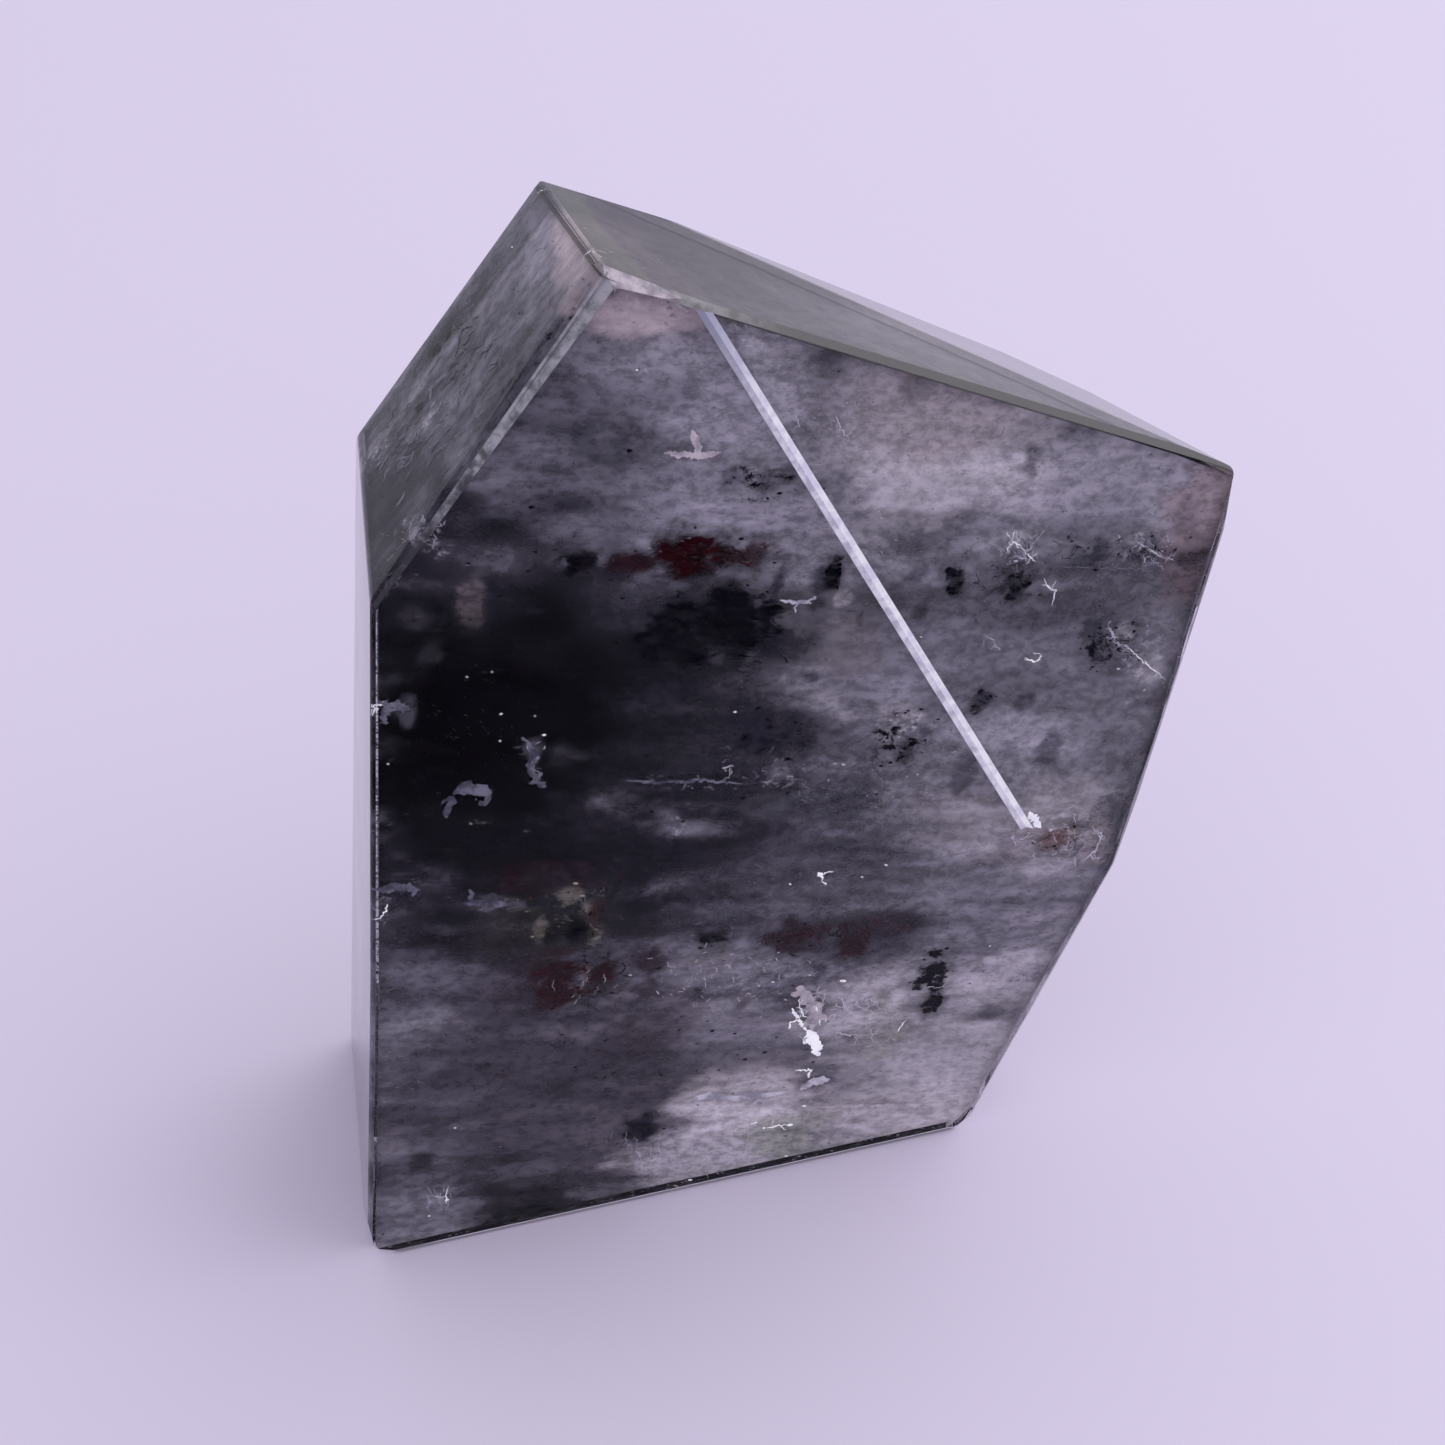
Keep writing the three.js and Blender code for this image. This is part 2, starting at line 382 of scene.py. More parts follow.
def groundMaterial(name):
    look = groundFinishes[name]
    material, tree, shader, output = newMaterial(name + "Edge")
    coords = addNode(tree, "ShaderNodeTexCoord")
    grit = addNode(tree, "ShaderNodeTexNoise", Scale=1200.0, Detail=5.0, Roughness=0.6)
    tree.links.new(coords.outputs["Object"], grit.inputs["Vector"])
    colour = addMix(tree, addRange(tree, grit.outputs["Fac"], 0.35, 0.62), *look["tones"])
    fade = look["fade"]
    place = addNode(tree, "ShaderNodeSeparateXYZ")
    tree.links.new(coords.outputs["Object"], place.inputs["Vector"])
    # Fine grit makes the fade uneven.
    off = addMaths(tree, "SUBTRACT", grit.outputs["Fac"], 0.5)
    uneven = addMaths(tree, "MULTIPLY", off, fade.get("grit", 0) * mm)
    along = addMaths(tree, "ADD", place.outputs[fade["axis"]], uneven)
    share = addRange(tree, along, fade["span"][0] * mm, fade["span"][1] * mm)
    colour = addMix(tree, share, fade["tone"], colour)
    tree.links.new(colour, shader.inputs["Base Color"])
    shader.inputs["Roughness"].default_value = look["rough"]
    shader.inputs["Specular IOR Level"].default_value = 0.2
    return material


def paintGroundEdges(bm):
    finishes = list(groundFinishes)
    for face in bm.faces:
        if face.calc_area() > stoneLook["stripUpTo"] * mm * mm:
            continue
        for edge in groundEdges:
            first, second = [looksTo(name) for name in edge["between"]]
            bend = first.angle(second)
            off = face.normal.angle(first) + face.normal.angle(second) - bend
            nearest = min(face.normal.angle(first), face.normal.angle(second))
            if off > math.radians(stoneLook["stripLean"]) or nearest < stoneLook["stripFrom"]:
                continue
            if edge["nearest"] and face.normal.angle(looksTo(edge["nearest"])) > bend / 2:
                continue
            face.material_index = 1 + finishes.index(edge["finish"])
            break


def makeStone():
    bm = stoneShape.copy()
    paintGroundEdges(bm)
    sharp = [
        e for e in bm.edges
        if len(e.link_faces) == 2
        and e.calc_face_angle() > math.radians(stoneLook["roundFrom"])
        and e.calc_length() > stoneLook["shortest"] * mm
    ]
    bmesh.ops.bevel(
        bm, geom=sharp, offset=stoneLook["edgeRound"] * mm, offset_type="OFFSET", affect="EDGES",
        segments=stoneLook["edgeSteps"], profile=0.5, material=-1, clamp_overlap=True,
    )
    finishes = [quartzMaterial()] + [groundMaterial(name) for name in groundFinishes]
    piece = finishPiece("quartz_stone", bm, finishes, "smoky_quartz")
    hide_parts("quartz_freeform")
    return piece


stone = makeStone()
print("stone made", len(stone.data.polygons))


# What grew inside lies in layers that stand in the plane of the slab and fall a little to the right.
# A box is pixels of the photograph: left, top, right, bottom. Later patches lie over earlier ones.
layerTurn = Matrix.Rotation(math.radians(13.5), 3, "Y")
pixelsPerMm = {"across": 16.2, "up": 12.4}
poolTones = {
    "night": tone(2, 2, 4),
    "coal": tone(28, 27, 34),
    "ink": tone(38, 37, 52),
    "plum": tone(56, 44, 54),
    "smoke": tone(58, 55, 66),
    "slate": tone(97, 95, 106),
    "warm": tone(108, 103, 108),
    "haze": tone(149, 145, 157),
    "mist": tone(187, 181, 190),
    "blush": tone(200, 184, 189),
    "cloud": tone(226, 218, 226),
    "moss": tone(132, 136, 122),
    "olive": tone(58, 56, 48),
    "cream": tone(172, 164, 152),
    "rust": tone(146, 108, 104),
    "wine": tone(52, 20, 28),
}
poolParts = ("look", "box", "share", "calm", "through")
pools = [
    dict(zip(poolParts, row)) for row in (
        ("haze", (540, 290, 760, 420), 0.25), ("slate", (380, 400, 760, 560), 0.6),
        ("slate", (520, 300, 640, 360), 0.4), ("smoke", (470, 320, 560, 380), 0.3),
        ("haze", (640, 500, 900, 560), 0.75), ("mist", (770, 305, 1080, 490), 0.82, 0.4),
        ("haze", (690, 310, 860, 520), 0.75), ("haze", (1040, 430, 1240, 550), 0.5, 0.3),
        ("slate", (850, 570, 1240, 760), 0.8, 0.3), ("haze", (880, 510, 1230, 625), 0.3),
        ("haze", (800, 670, 1130, 800), 0.55), ("smoke", (940, 600, 1140, 700), 0.42),
        ("haze", (860, 740, 1130, 850), 0.75), ("mist", (930, 800, 1110, 872), 0.78, 0.3),
        ("smoke", (340, 545, 740, 720), 0.85), ("haze", (690, 505, 880, 580), 0.5),
        ("coal", (350, 585, 640, 860), 0.9), ("coal", (540, 660, 810, 812), 0.86),
        ("slate", (590, 570, 720, 632), 0.4), ("warm", (784, 600, 900, 668), 0.6, 0.5),
        ("smoke", (360, 800, 730, 900), 0.9), ("smoke", (680, 810, 860, 890), 0.3),
        ("coal", (390, 790, 720, 880), 0.85), ("haze", (760, 850, 1120, 915), 0.4, 0.4),
        ("smoke", (350, 890, 700, 1010), 0.7), ("coal", (470, 850, 650, 960), 0.85),
        ("plum", (380, 980, 760, 1220), 0.55, 0.1), ("smoke", (360, 980, 640, 1220), 0.45, 0.2),
        ("mist", (770, 965, 1120, 1220), 0.9, 0.35), ("smoke", (760, 912, 960, 965), 0.7),
        ("mist", (650, 1100, 900, 1220), 0.95), ("haze", (670, 1000, 820, 1080), 0.8, 0.3),
        ("slate", (400, 1120, 470, 1220), 0.5), ("haze", (390, 1150, 460, 1230), 0.25),
        ("cloud", (676, 1070, 830, 1130), 0.95, 0.3), ("cloud", (800, 1092, 1010, 1150), 0.6, 0.3),
        ("moss", (740, 1110, 830, 1165), 0.6), ("moss", (850, 1000, 910, 1060), 0.5),
        ("blush", (860, 360, 1010, 440), 0.3), ("rust", (1170, 430, 1260, 570), 0.3),
        ("haze", (520, 180, 600, 262), 0.6, 0.6, 4), ("smoke", (330, 430, 430, 600), 0.85, 0.5, 4),
        ("coal", (332, 470, 396, 610), 0.45, 0.5, 4), ("cloud", (790, 984, 906, 1046), 0.35),
        ("blush", (590, 272, 694, 318), 0.85, 0.7), ("coal", (474, 1170, 575, 1250), 0.75),
        ("night", (376, 636, 600, 830), 1.0, 1.0, 6),
    )
]
# Soft dabs on the front only: the look, the box and the share
pools += [
    dict(look=look, box=box, share=share, through=1.2)
    for look, box, share in (
        ("blush", (460, 582, 484, 622), 0.22), ("ink", (484, 578, 498, 610), 0.7),
        ("coal", (458, 628, 474, 642), 0.8), ("coal", (568, 600, 590, 610), 0.7),
        ("haze", (402, 606, 424, 624), 0.15), ("haze", (418, 644, 442, 662), 0.12),
        ("coal", (590, 765, 660, 815), 0.75), ("wine", (596, 555, 664, 571), 1.0),
        ("wine", (704, 548, 776, 566), 0.85), ("wine", (656, 541, 718, 573), 0.9),
        ("night", (664, 552, 710, 572), 0.45), ("rust", (1036, 828, 1078, 848), 0.8),
        ("slate", (820, 820, 960, 850), 0.3), ("slate", (398, 702, 414, 722), 0.7),
        ("haze", (526, 740, 542, 760), 0.25), ("night", (650, 606, 704, 640), 0.6),
        ("night", (674, 630, 706, 664), 0.75), ("night", (700, 612, 770, 660), 0.75),
        ("night", (716, 588, 742, 612), 1.0), ("coal", (742, 640, 800, 700), 0.55),
        ("night", (560, 554, 602, 570), 0.8), ("ink", (766, 634, 794, 656), 0.5),
        ("ink", (772, 576, 782, 598), 0.8), ("ink", (811, 568, 829, 602), 0.75),
        ("night", (826, 566, 840, 586), 0.8), ("mist", (832, 591, 849, 603), 0.8),
        ("wine", (857, 609, 864, 624), 0.4), ("ink", (806, 672, 818, 682), 0.7),
        ("night", (950, 568, 963, 590), 0.8), ("ink", (903, 568, 924, 586), 0.6),
        ("ink", (1168, 508, 1200, 530), 0.3), ("ink", (913, 607, 927, 622), 0.5),
        ("ink", (972, 686, 990, 708), 0.7), ("night", (998, 576, 1034, 594), 0.6),
        ("ink", (1016, 690, 1034, 708), 0.5), ("mist", (812, 692, 844, 708), 0.35),
        ("mist", (872, 706, 922, 724), 0.6), ("mist", (880, 722, 900, 748), 0.5),
        ("night", (901, 732, 916, 758), 0.6), ("ink", (917, 726, 934, 738), 0.7),
        ("ink", (870, 746, 880, 762), 0.7), ("ink", (742, 716, 778, 750), 0.65),
        ("ink", (780, 718, 800, 734), 0.6), ("ink", (796, 738, 814, 754), 0.6),
        ("mist", (838, 710, 864, 718), 0.35), ("haze", (760, 764, 788, 780), 0.45),
        ("haze", (820, 744, 868, 760), 0.3), ("ink", (1036, 736, 1062, 762), 0.6),
        ("ink", (948, 758, 978, 792), 0.6), ("ink", (1090, 540, 1110, 560), 0.7),
        ("ink", (1130, 540, 1156, 558), 0.7), ("ink", (1004, 552, 1030, 566), 0.6),
        ("ink", (1170, 552, 1212, 566), 0.5), ("ink", (1060, 556, 1096, 566), 0.5),
        ("ink", (1080, 622, 1104, 642), 0.65), ("ink", (1110, 634, 1130, 656), 0.65),
        ("ink", (1090, 648, 1116, 662), 0.4), ("mist", (1126, 534, 1146, 550), 0.4),
        ("mist", (1010, 536, 1034, 552), 0.4), ("mist", (1112, 624, 1132, 650), 0.45),
        ("mist", (1134, 654, 1166, 684), 0.35), ("ink", (818, 350, 842, 366), 0.55),
        ("ink", (900, 378, 930, 396), 0.3), ("ink", (1024, 448, 1040, 468), 0.5),
        ("ink", (720, 470, 744, 486), 0.5), ("ink", (756, 474, 776, 494), 0.65),
        ("ink", (780, 468, 798, 480), 0.55), ("ink", (572, 430, 596, 452), 0.45),
        ("ink", (600, 440, 634, 466), 0.4), ("slate", (640, 384, 700, 410), 0.35),
        ("smoke", (560, 420, 650, 470), 0.15), ("slate", (697, 906, 850, 926), 0.6),
        ("coal", (692, 931, 724, 945), 0.95), ("wine", (770, 920, 818, 950), 0.8),
        ("wine", (836, 934, 866, 958), 1.0), ("haze", (824, 926, 840, 946), 0.4),
        ("plum", (840, 914, 924, 936), 0.7), ("plum", (638, 950, 662, 976), 0.85),
        ("ink", (808, 962, 828, 982), 0.6), ("ink", (690, 988, 704, 1002), 0.6),
        ("plum", (734, 996, 748, 1010), 0.5), ("olive", (688, 944, 726, 964), 0.5),
        ("olive", (866, 986, 890, 1010), 0.5), ("haze", (470, 896, 512, 911), 0.5),
        ("slate", (426, 925, 458, 935), 0.5), ("olive", (476, 920, 524, 956), 0.35),
        ("wine", (500, 868, 600, 890), 0.4), ("ink", (540, 872, 640, 912), 0.4),
        ("cream", (558, 889, 580, 902), 0.4), ("cream", (580, 902, 593, 922), 0.45),
        ("cream", (586, 920, 601, 942), 0.6), ("cream", (535, 914, 547, 938), 0.35),
        ("night", (544, 927, 560, 943), 0.85), ("night", (562, 920, 588, 944), 1.0),
        ("wine", (586, 902, 608, 922), 0.8), ("coal", (608, 862, 650, 924), 0.6),
        ("wine", (532, 962, 580, 990), 1.0), ("wine", (592, 962, 616, 984), 1.0),
        ("wine", (536, 986, 570, 1010), 0.9), ("blush", (578, 966, 588, 992), 0.25),
        ("wine", (546, 946, 580, 958), 0.7), ("plum", (484, 975, 530, 1010), 0.5),
        ("slate", (396, 965, 470, 1004), 0.6), ("plum", (628, 944, 668, 974), 0.6),
        ("plum", (634, 980, 656, 998), 0.7), ("plum", (612, 1010, 690, 1060), 0.4),
        ("slate", (380, 1085, 440, 1105), 0.3), ("haze", (568, 1030, 600, 1048), 0.25),
        ("slate", (606, 1058, 640, 1090), 0.4), ("ink", (626, 1116, 660, 1142), 0.95),
        ("coal", (408, 1152, 432, 1172), 0.7), ("haze", (455, 1120, 488, 1132), 0.35),
        ("blush", (1012, 820, 1040, 850), 0.4), ("blush", (1078, 822, 1112, 862), 0.4),
        ("smoke", (700, 856, 800, 886), 0.3), ("haze", (652, 822, 688, 834), 0.2),
    )
]
# Marks break into flecks: few at 0.5, and solid in the middle from about 1.2.
marks = [
    dict(kind=kind, box=box, share=share)
    for kind, rows in (
        ("dark", (
            ((405, 822, 600, 842), 0.62), ((650, 600, 775, 664), 1.12), ((716, 586, 744, 612), 1.25),
            ((553, 552, 600, 572), 1.05), ((716, 468, 800, 496), 0.78), ((824, 562, 844, 588), 1.1),
            ((942, 566, 964, 592), 1.1), ((998, 572, 1036, 596), 1.0), ((1000, 538, 1215, 568), 0.62),
            ((1076, 620, 1144, 668), 0.84), ((968, 684, 992, 712), 0.9), ((866, 716, 932, 764), 0.84),
            ((736, 716, 816, 756), 0.8), ((680, 784, 880, 804), 0.50), ((814, 348, 844, 388), 0.56),
            ((902, 378, 928, 398), 0.46), ((565, 424, 640, 474), 0.50), ((480, 740, 700, 900), 0.44),
            ((400, 540, 640, 640), 0.50), ((562, 920, 588, 944), 1.00), ((588, 900, 608, 924), 0.66),
            ((830, 930, 895, 958), 0.70), ((914, 950, 950, 1004), 1.25), ((922, 990, 942, 1016), 1.25),
            ((690, 930, 726, 948), 1.00), ((634, 950, 666, 974), 0.62), ((688, 986, 708, 1002), 0.66),
            ((622, 1116, 662, 1144), 1.00), ((412, 1154, 432, 1174), 0.66),
            ((470, 1200, 568, 1236), 0.95), ((600, 1000, 800, 1100), 0.40),
        )),
        ("maroon", (
            ((660, 541, 716, 573), 1.35), ((700, 545, 776, 568), 0.72), ((600, 552, 660, 570), 0.62),
            ((560, 558, 618, 578), 0.60), ((528, 958, 600, 1008), 0.90), ((590, 962, 622, 994), 0.85),
            ((766, 918, 840, 950), 0.80), ((840, 916, 925, 952), 0.66), ((1032, 826, 1080, 852), 0.55),
            ((460, 850, 640, 900), 0.56), ((440, 1020, 660, 1100), 0.50),
        )),
        ("green", (
            ((530, 886, 606, 945), 0.6), ((848, 1008, 908, 1052), 0.5), ((747, 1128, 815, 1160), 0.5),
        )),
        ("pale", (
            ((452, 784, 494, 802), 0.56), ((444, 798, 460, 820), 0.50), ((456, 810, 568, 828), 0.52),
            ((510, 736, 544, 788), 0.56), ((628, 773, 744, 790), 0.60), ((753, 760, 800, 788), 0.72),
            ((658, 820, 688, 836), 0.70), ((372, 876, 424, 898), 0.58), ((462, 896, 512, 914), 0.66),
            ((368, 696, 392, 724), 0.75), ((374, 900, 392, 926), 0.75), ((640, 950, 900, 1012), 0.60),
            ((796, 984, 828, 1016), 0.95), ((680, 1088, 792, 1108), 0.72),
            ((828, 988, 904, 1044), 0.72), ((870, 704, 924, 736), 0.78), ((752, 750, 942, 814), 0.60),
            ((730, 312, 796, 342), 0.66), ((828, 412, 856, 444), 0.62), ((1000, 530, 1046, 566), 0.74),
            ((1112, 530, 1178, 566), 0.74), ((1100, 620, 1176, 690), 0.66),
            ((1006, 810, 1114, 868), 0.76), ((590, 270, 700, 300), 0.66), ((385, 516, 442, 542), 0.80),
            ((425, 1180, 455, 1222), 0.62), ((600, 1125, 800, 1190), 0.60),
        )),
    )
    for box, share in rows
]
slope = -63  # degrees from the layers to the way the shoulder rises
marks += [
    dict(kind=kind, spot=spot, depth=0.45, size=size, share=share, turn=slope)
    for kind, spot, size, share in (
        ("dark", (438, 344), (2.6, 2.0, 0.9), 1.0),
        ("dark", (462, 371), (2.4, 1.6, 0.6), 0.9),
        ("dark", (436, 384), (3.4, 2.4, 1.4), 0.6),
        ("dark", (421, 405), (2.4, 1.2, 0.5), 0.95),
        ("dark", (385, 425), (3.4, 1.2, 0.5), 0.7),
        ("dark", (408, 466), (2.6, 1.6, 0.7), 0.75),
        ("dark", (522, 312), (0.9, 0.8, 0.5), 0.9),
        ("dark", (475, 300), (4.0, 1.4, 0.6), 0.5),
        ("dark", (370, 484), (1.0, 1.0, 0.5), 0.9),
        ("pale", (424, 424), (5.0, 1.6, 0.7), 0.85),
        ("pale", (376, 452), (3.6, 1.4, 0.8), 0.85),
        ("pale", (470, 320), (4.6, 1.0, 0.5), 0.5),
        ("dark", (547, 341), (7.4, 1.6, 0.6), 0.7),
        ("dark", (500, 414), (6.0, 1.6, 0.4), 0.6),
    )
]
markOrder = ("dark", "pale", "maroon", "green")
hidden = {  # marks that the photograph can't show, deeper in the stone
    "count": 90,
    "seed": 31,
    "behind": 3.5,  # mm from the front
    "along": (0.8, 4.5),
    "up": (0.3, 1.4),
    "kinds": ("dark", "dark", "pale", "pale", "maroon", "green"),
    "share": (0.5, 0.95),
}
clouds = {
    "cells": ((16, 2.5, 4.2), (6.5, 1.4, 1.3), (2.2, 0.8, 0.6)),  # mm along the layers, through them and up
    "parts": (0.5, 0.28, 0.22),
    "tones": (tone(88, 86, 96), tone(113, 110, 121), tone(145, 141, 152)),
    "cover": (0.6, 0.98),
    "steps": {"lower": (0.3, 0.5), "upper": (0.5, 0.7), "cover": (0.3, 0.55), "inPools": (0.3, 0.7)},
    "poolLight": (0.8, 1.2),  # a pool keeps some of the clouds' own light and dark
    "stains": {"dark": "coal", "pale": "mist", "maroon": "coal", "green": "moss"},
    "stain": {"dark": 0.4, "pale": 0.12, "maroon": 0.45, "green": 0.06},
}


def cloudNoise(points, cell, seed):
    # Smooth random values from 0 to 1 with features of this many mm
    lattice = np.random.default_rng(seed).random((48, 48, 48))
    spread = points / (np.array(cell) * mm) + 480.0
    base = np.floor(spread).astype(int)
    part = spread - base
    part = part * part * (3 - 2 * part)
    total = np.zeros(len(points))
    for corner in range(8):
        step = np.array([(corner >> k) & 1 for k in range(3)])
        index = (base + step) % 48
        share = np.prod(np.where(step == 1, part, 1 - part), axis=1)
        total += share * lattice[index[:, 0], index[:, 1], index[:, 2]]
    return total


def rise(values, low, high):
    share = np.clip((values - low) / (high - low), 0, 1)
    return share * share * (3 - 2 * share)


def layered(points):
    return np.asarray(points) @ np.array(layerTurn)


borders = (  # seed, coarse and fine cells in mm, and the share of the fine ones
    (60, (4.5, 2.5, 1.6), (1.3, 0.8, 0.6), 0.5),
    (62, (0.9, 0.8, 0.55), (0.35, 0.4, 0.25), 0.6),
)


def borderNoise(turned):
    # How far the borders of patches wander, once for large patches and once for small ones
    wander = []
    for seed, coarse, fine, part in borders:
        edge = cloudNoise(turned, coarse, seed) - 0.5
        wander.append(edge + part * (cloudNoise(turned, fine, seed + 1) - 0.5))
    return wander


def patchFrame(patch):
    if "middle" in patch:
        return patch["middle"], patch["half"]
    if "spot" in patch:
        return layered(seenAt(patch["spot"], patch["depth"])), np.array(patch["size"]) * mm / 2
    left, top, right, bottom = patch["box"]
    through = patch.get("through", 8 if "look" in patch else 1.5)
    middle = layered(seenAt(((left + right) / 2, (top + bottom) / 2), patch.get("depth", 0.8)))
    across, up = pixelsPerMm["across"], pixelsPerMm["up"]
    return middle, np.array([(right - left) / 2 / across, through, (bottom - top) / 2 / up]) * mm


patchEdge = {
    "reach": 1.7,  # in half sizes of the patch, nothing lies beyond it
    "large": 2.5,  # mm, patches wider than twice this have coarse borders
    "ragged": 0.9,
    "fade": (-1.3, -0.6),
}


def patchShares(turned, wander, patch, wider=1.0):
    # Which points lie in a patch, and how much of it they have: its share in the middle, less at the border
    middle, half = patchFrame(patch)
    reach = patchEdge["reach"]
    close = np.flatnonzero(np.abs(turned - middle).max(axis=1) < half.max() * wider * reach)
    turn = Matrix.Rotation(math.radians(patch.get("turn", 0)), 3, "Y")
    offset = (turned[close] - middle) @ np.array(turn)
    away = np.linalg.norm(offset / (half * wider), axis=1)
    near, away = close[away < reach], away[away < reach]
    border = wander[0] if half[0] > patchEdge["large"] * mm else wander[1]
    return near, patch["share"] * rise(patchEdge["ragged"] * border[near] - away, *patchEdge["fade"])


def gardenTone(points, cells=None):
    # Colour, cover and roughness of the clouds at these places, the same for veils and dust
    turned = layered(points)
    mix = 0
    for number, (part, cell) in enumerate(zip(clouds["parts"], cells or clouds["cells"])):
        mix = mix + part * cloudNoise(turned, cell, 11 + number)
    dark, middle, pale = [np.array(t[:3]) for t in clouds["tones"]]
    lower, upper = [rise(mix, *clouds["steps"][step])[:, None] for step in ("lower", "upper")]
    colour = (dark + (middle - dark) * lower) + (pale - middle) * upper
    least, most = clouds["cover"]
    cover = least + (most - least) * rise(mix, *clouds["steps"]["cover"])
    texture = np.ones(len(points))
    wander = borderNoise(turned)
    for pool in pools:
        near, share = patchShares(turned, wander, pool)
        target = np.array(poolTones[pool["look"]][:3])
        dim, lit = clouds["poolLight"]
        cloudy = target * (dim + (lit - dim) * rise(mix[near], *clouds["steps"]["inPools"]))[:, None]
        colour[near] += (cloudy - colour[near]) * share[:, None]
        cover[near] = np.maximum(cover[near], share)
        texture[near] += (1 - pool.get("calm", 0) - texture[near]) * share
    for mark in marks + hiddenMarks():
        # Each mark also stains what lies round it.
        near, share = patchShares(turned, wander, mark, 1.35)
        target = np.array(poolTones[clouds["stains"][mark["kind"]]][:3])
        if mark["kind"] == "pale":
            target = np.minimum(target, colour[near] * 3)
        share = np.minimum(share, 1) * clouds["stain"][mark["kind"]]
        colour[near] += (target - colour[near]) * share[:, None]
    return np.column_stack([colour, np.clip(cover, 0, 1), texture])


def hiddenMarks():
    rng = np.random.default_rng(hidden["seed"])
    low, high = np.array(cadBox[0]), np.array(cadBox[1])
    found = []
    while len(found) < hidden["count"]:
        spot = low + rng.random(3) * (high - low)
        front, _ = slabSides(spot[None])
        if not isInside(spot[None], 0.5)[0] or spot[1] < front[0] + hidden["behind"] * mm:
            continue
        half = np.array([rng.uniform(*hidden["along"]), 1.6, rng.uniform(*hidden["up"])]) * mm
        kind = str(rng.choice(hidden["kinds"]))
        found.append(dict(kind=kind, middle=layered(spot), half=half, share=rng.uniform(*hidden["share"])))
    return found


def gardenMarks(points):
    # How much of each kind of mark there is at these places
    turned = layered(points)
    wander = borderNoise(turned)
    amounts = np.zeros((len(points), 4))
    for mark in marks + hiddenMarks():
        near, share = patchShares(turned, wander, mark)
        channel = markOrder.index(mark["kind"])
        amounts[near, channel] = np.maximum(amounts[near, channel], share)
    return amounts


def paintTone(mesh, name, values):
    # Keeps four values on each corner, where the materials read them
    layer = mesh.color_attributes.new(name, "FLOAT_COLOR", "POINT")
    layer.data.foreach_set("color", values.astype(np.float32).ravel())


def layerNoise(tree, scale, detail, offset, turn=-13.5):
    # Noise with this many cells per metre along the layers, through them and up
    coords = addNode(tree, "ShaderNodeTexCoord")
    level = addNode(tree, "ShaderNodeMapping", vector_type="POINT")
    level.inputs["Rotation"].default_value = (0, math.radians(turn), 0)
    level.inputs["Location"].default_value = (offset, 0, 0)
    squeeze = addNode(tree, "ShaderNodeMapping")
    squeeze.inputs["Scale"].default_value = scale
    noise = addNode(tree, "ShaderNodeTexNoise", Scale=1.0, Detail=detail, Roughness=0.66)
    tree.links.new(coords.outputs["Object"], level.inputs["Vector"])
    tree.links.new(level.outputs["Vector"], squeeze.inputs["Vector"])
    tree.links.new(squeeze.outputs["Vector"], noise.inputs["Vector"])
    return noise.outputs["Fac"]


def brokenMask(tree, amount, noise, look):
    # Amount 0 leaves nothing, 1 is solid, and between them the noise breaks it into flecks with soft halos
    moved = addMaths(tree, "MULTIPLY", addMaths(tree, "SUBTRACT", noise, 0.5), look["spread"])
    total = addMaths(tree, "ADD", amount, moved)
    halo = addRange(tree, total, *look["halo"], 0.0, 1 - look["solid"])
    return addMaths(tree, "ADD", addRange(tree, total, *look["core"], 0.0, look["solid"]), halo)


veilLook = {
    "grain": dict(scale=(1300, 2100, 2100), detail=6.0, light=(0.84, 1.18), thin=(-0.25, 0.06)),
    "swirl": dict(scale=(190, 800, 1200), detail=5.0, light=(0.87, 1.14)),
    "flecks": dict(
        scale=(1000, 1500, 1800), detail=4.0, spread=2.6, halo=(0.68, 1.2), core=(0.95, 1.15), solid=0.4,
    ),
    "threads": dict(
        scale=(1500, 1900, 1900), detail=5.0, spread=2.2, halo=(0.7, 1.3), core=(1.0, 1.2), solid=0.3,
    ),
    "tones": {
        "green": (tone(96, 92, 78), tone(160, 154, 138)),
        "maroon": (tone(8, 0, 2), tone(48, 5, 12)),
        "dark": (tone(0, 0, 3), tone(12, 11, 22)),
        "pale": (tone(150, 146, 160), tone(220, 216, 228)),
    },
}


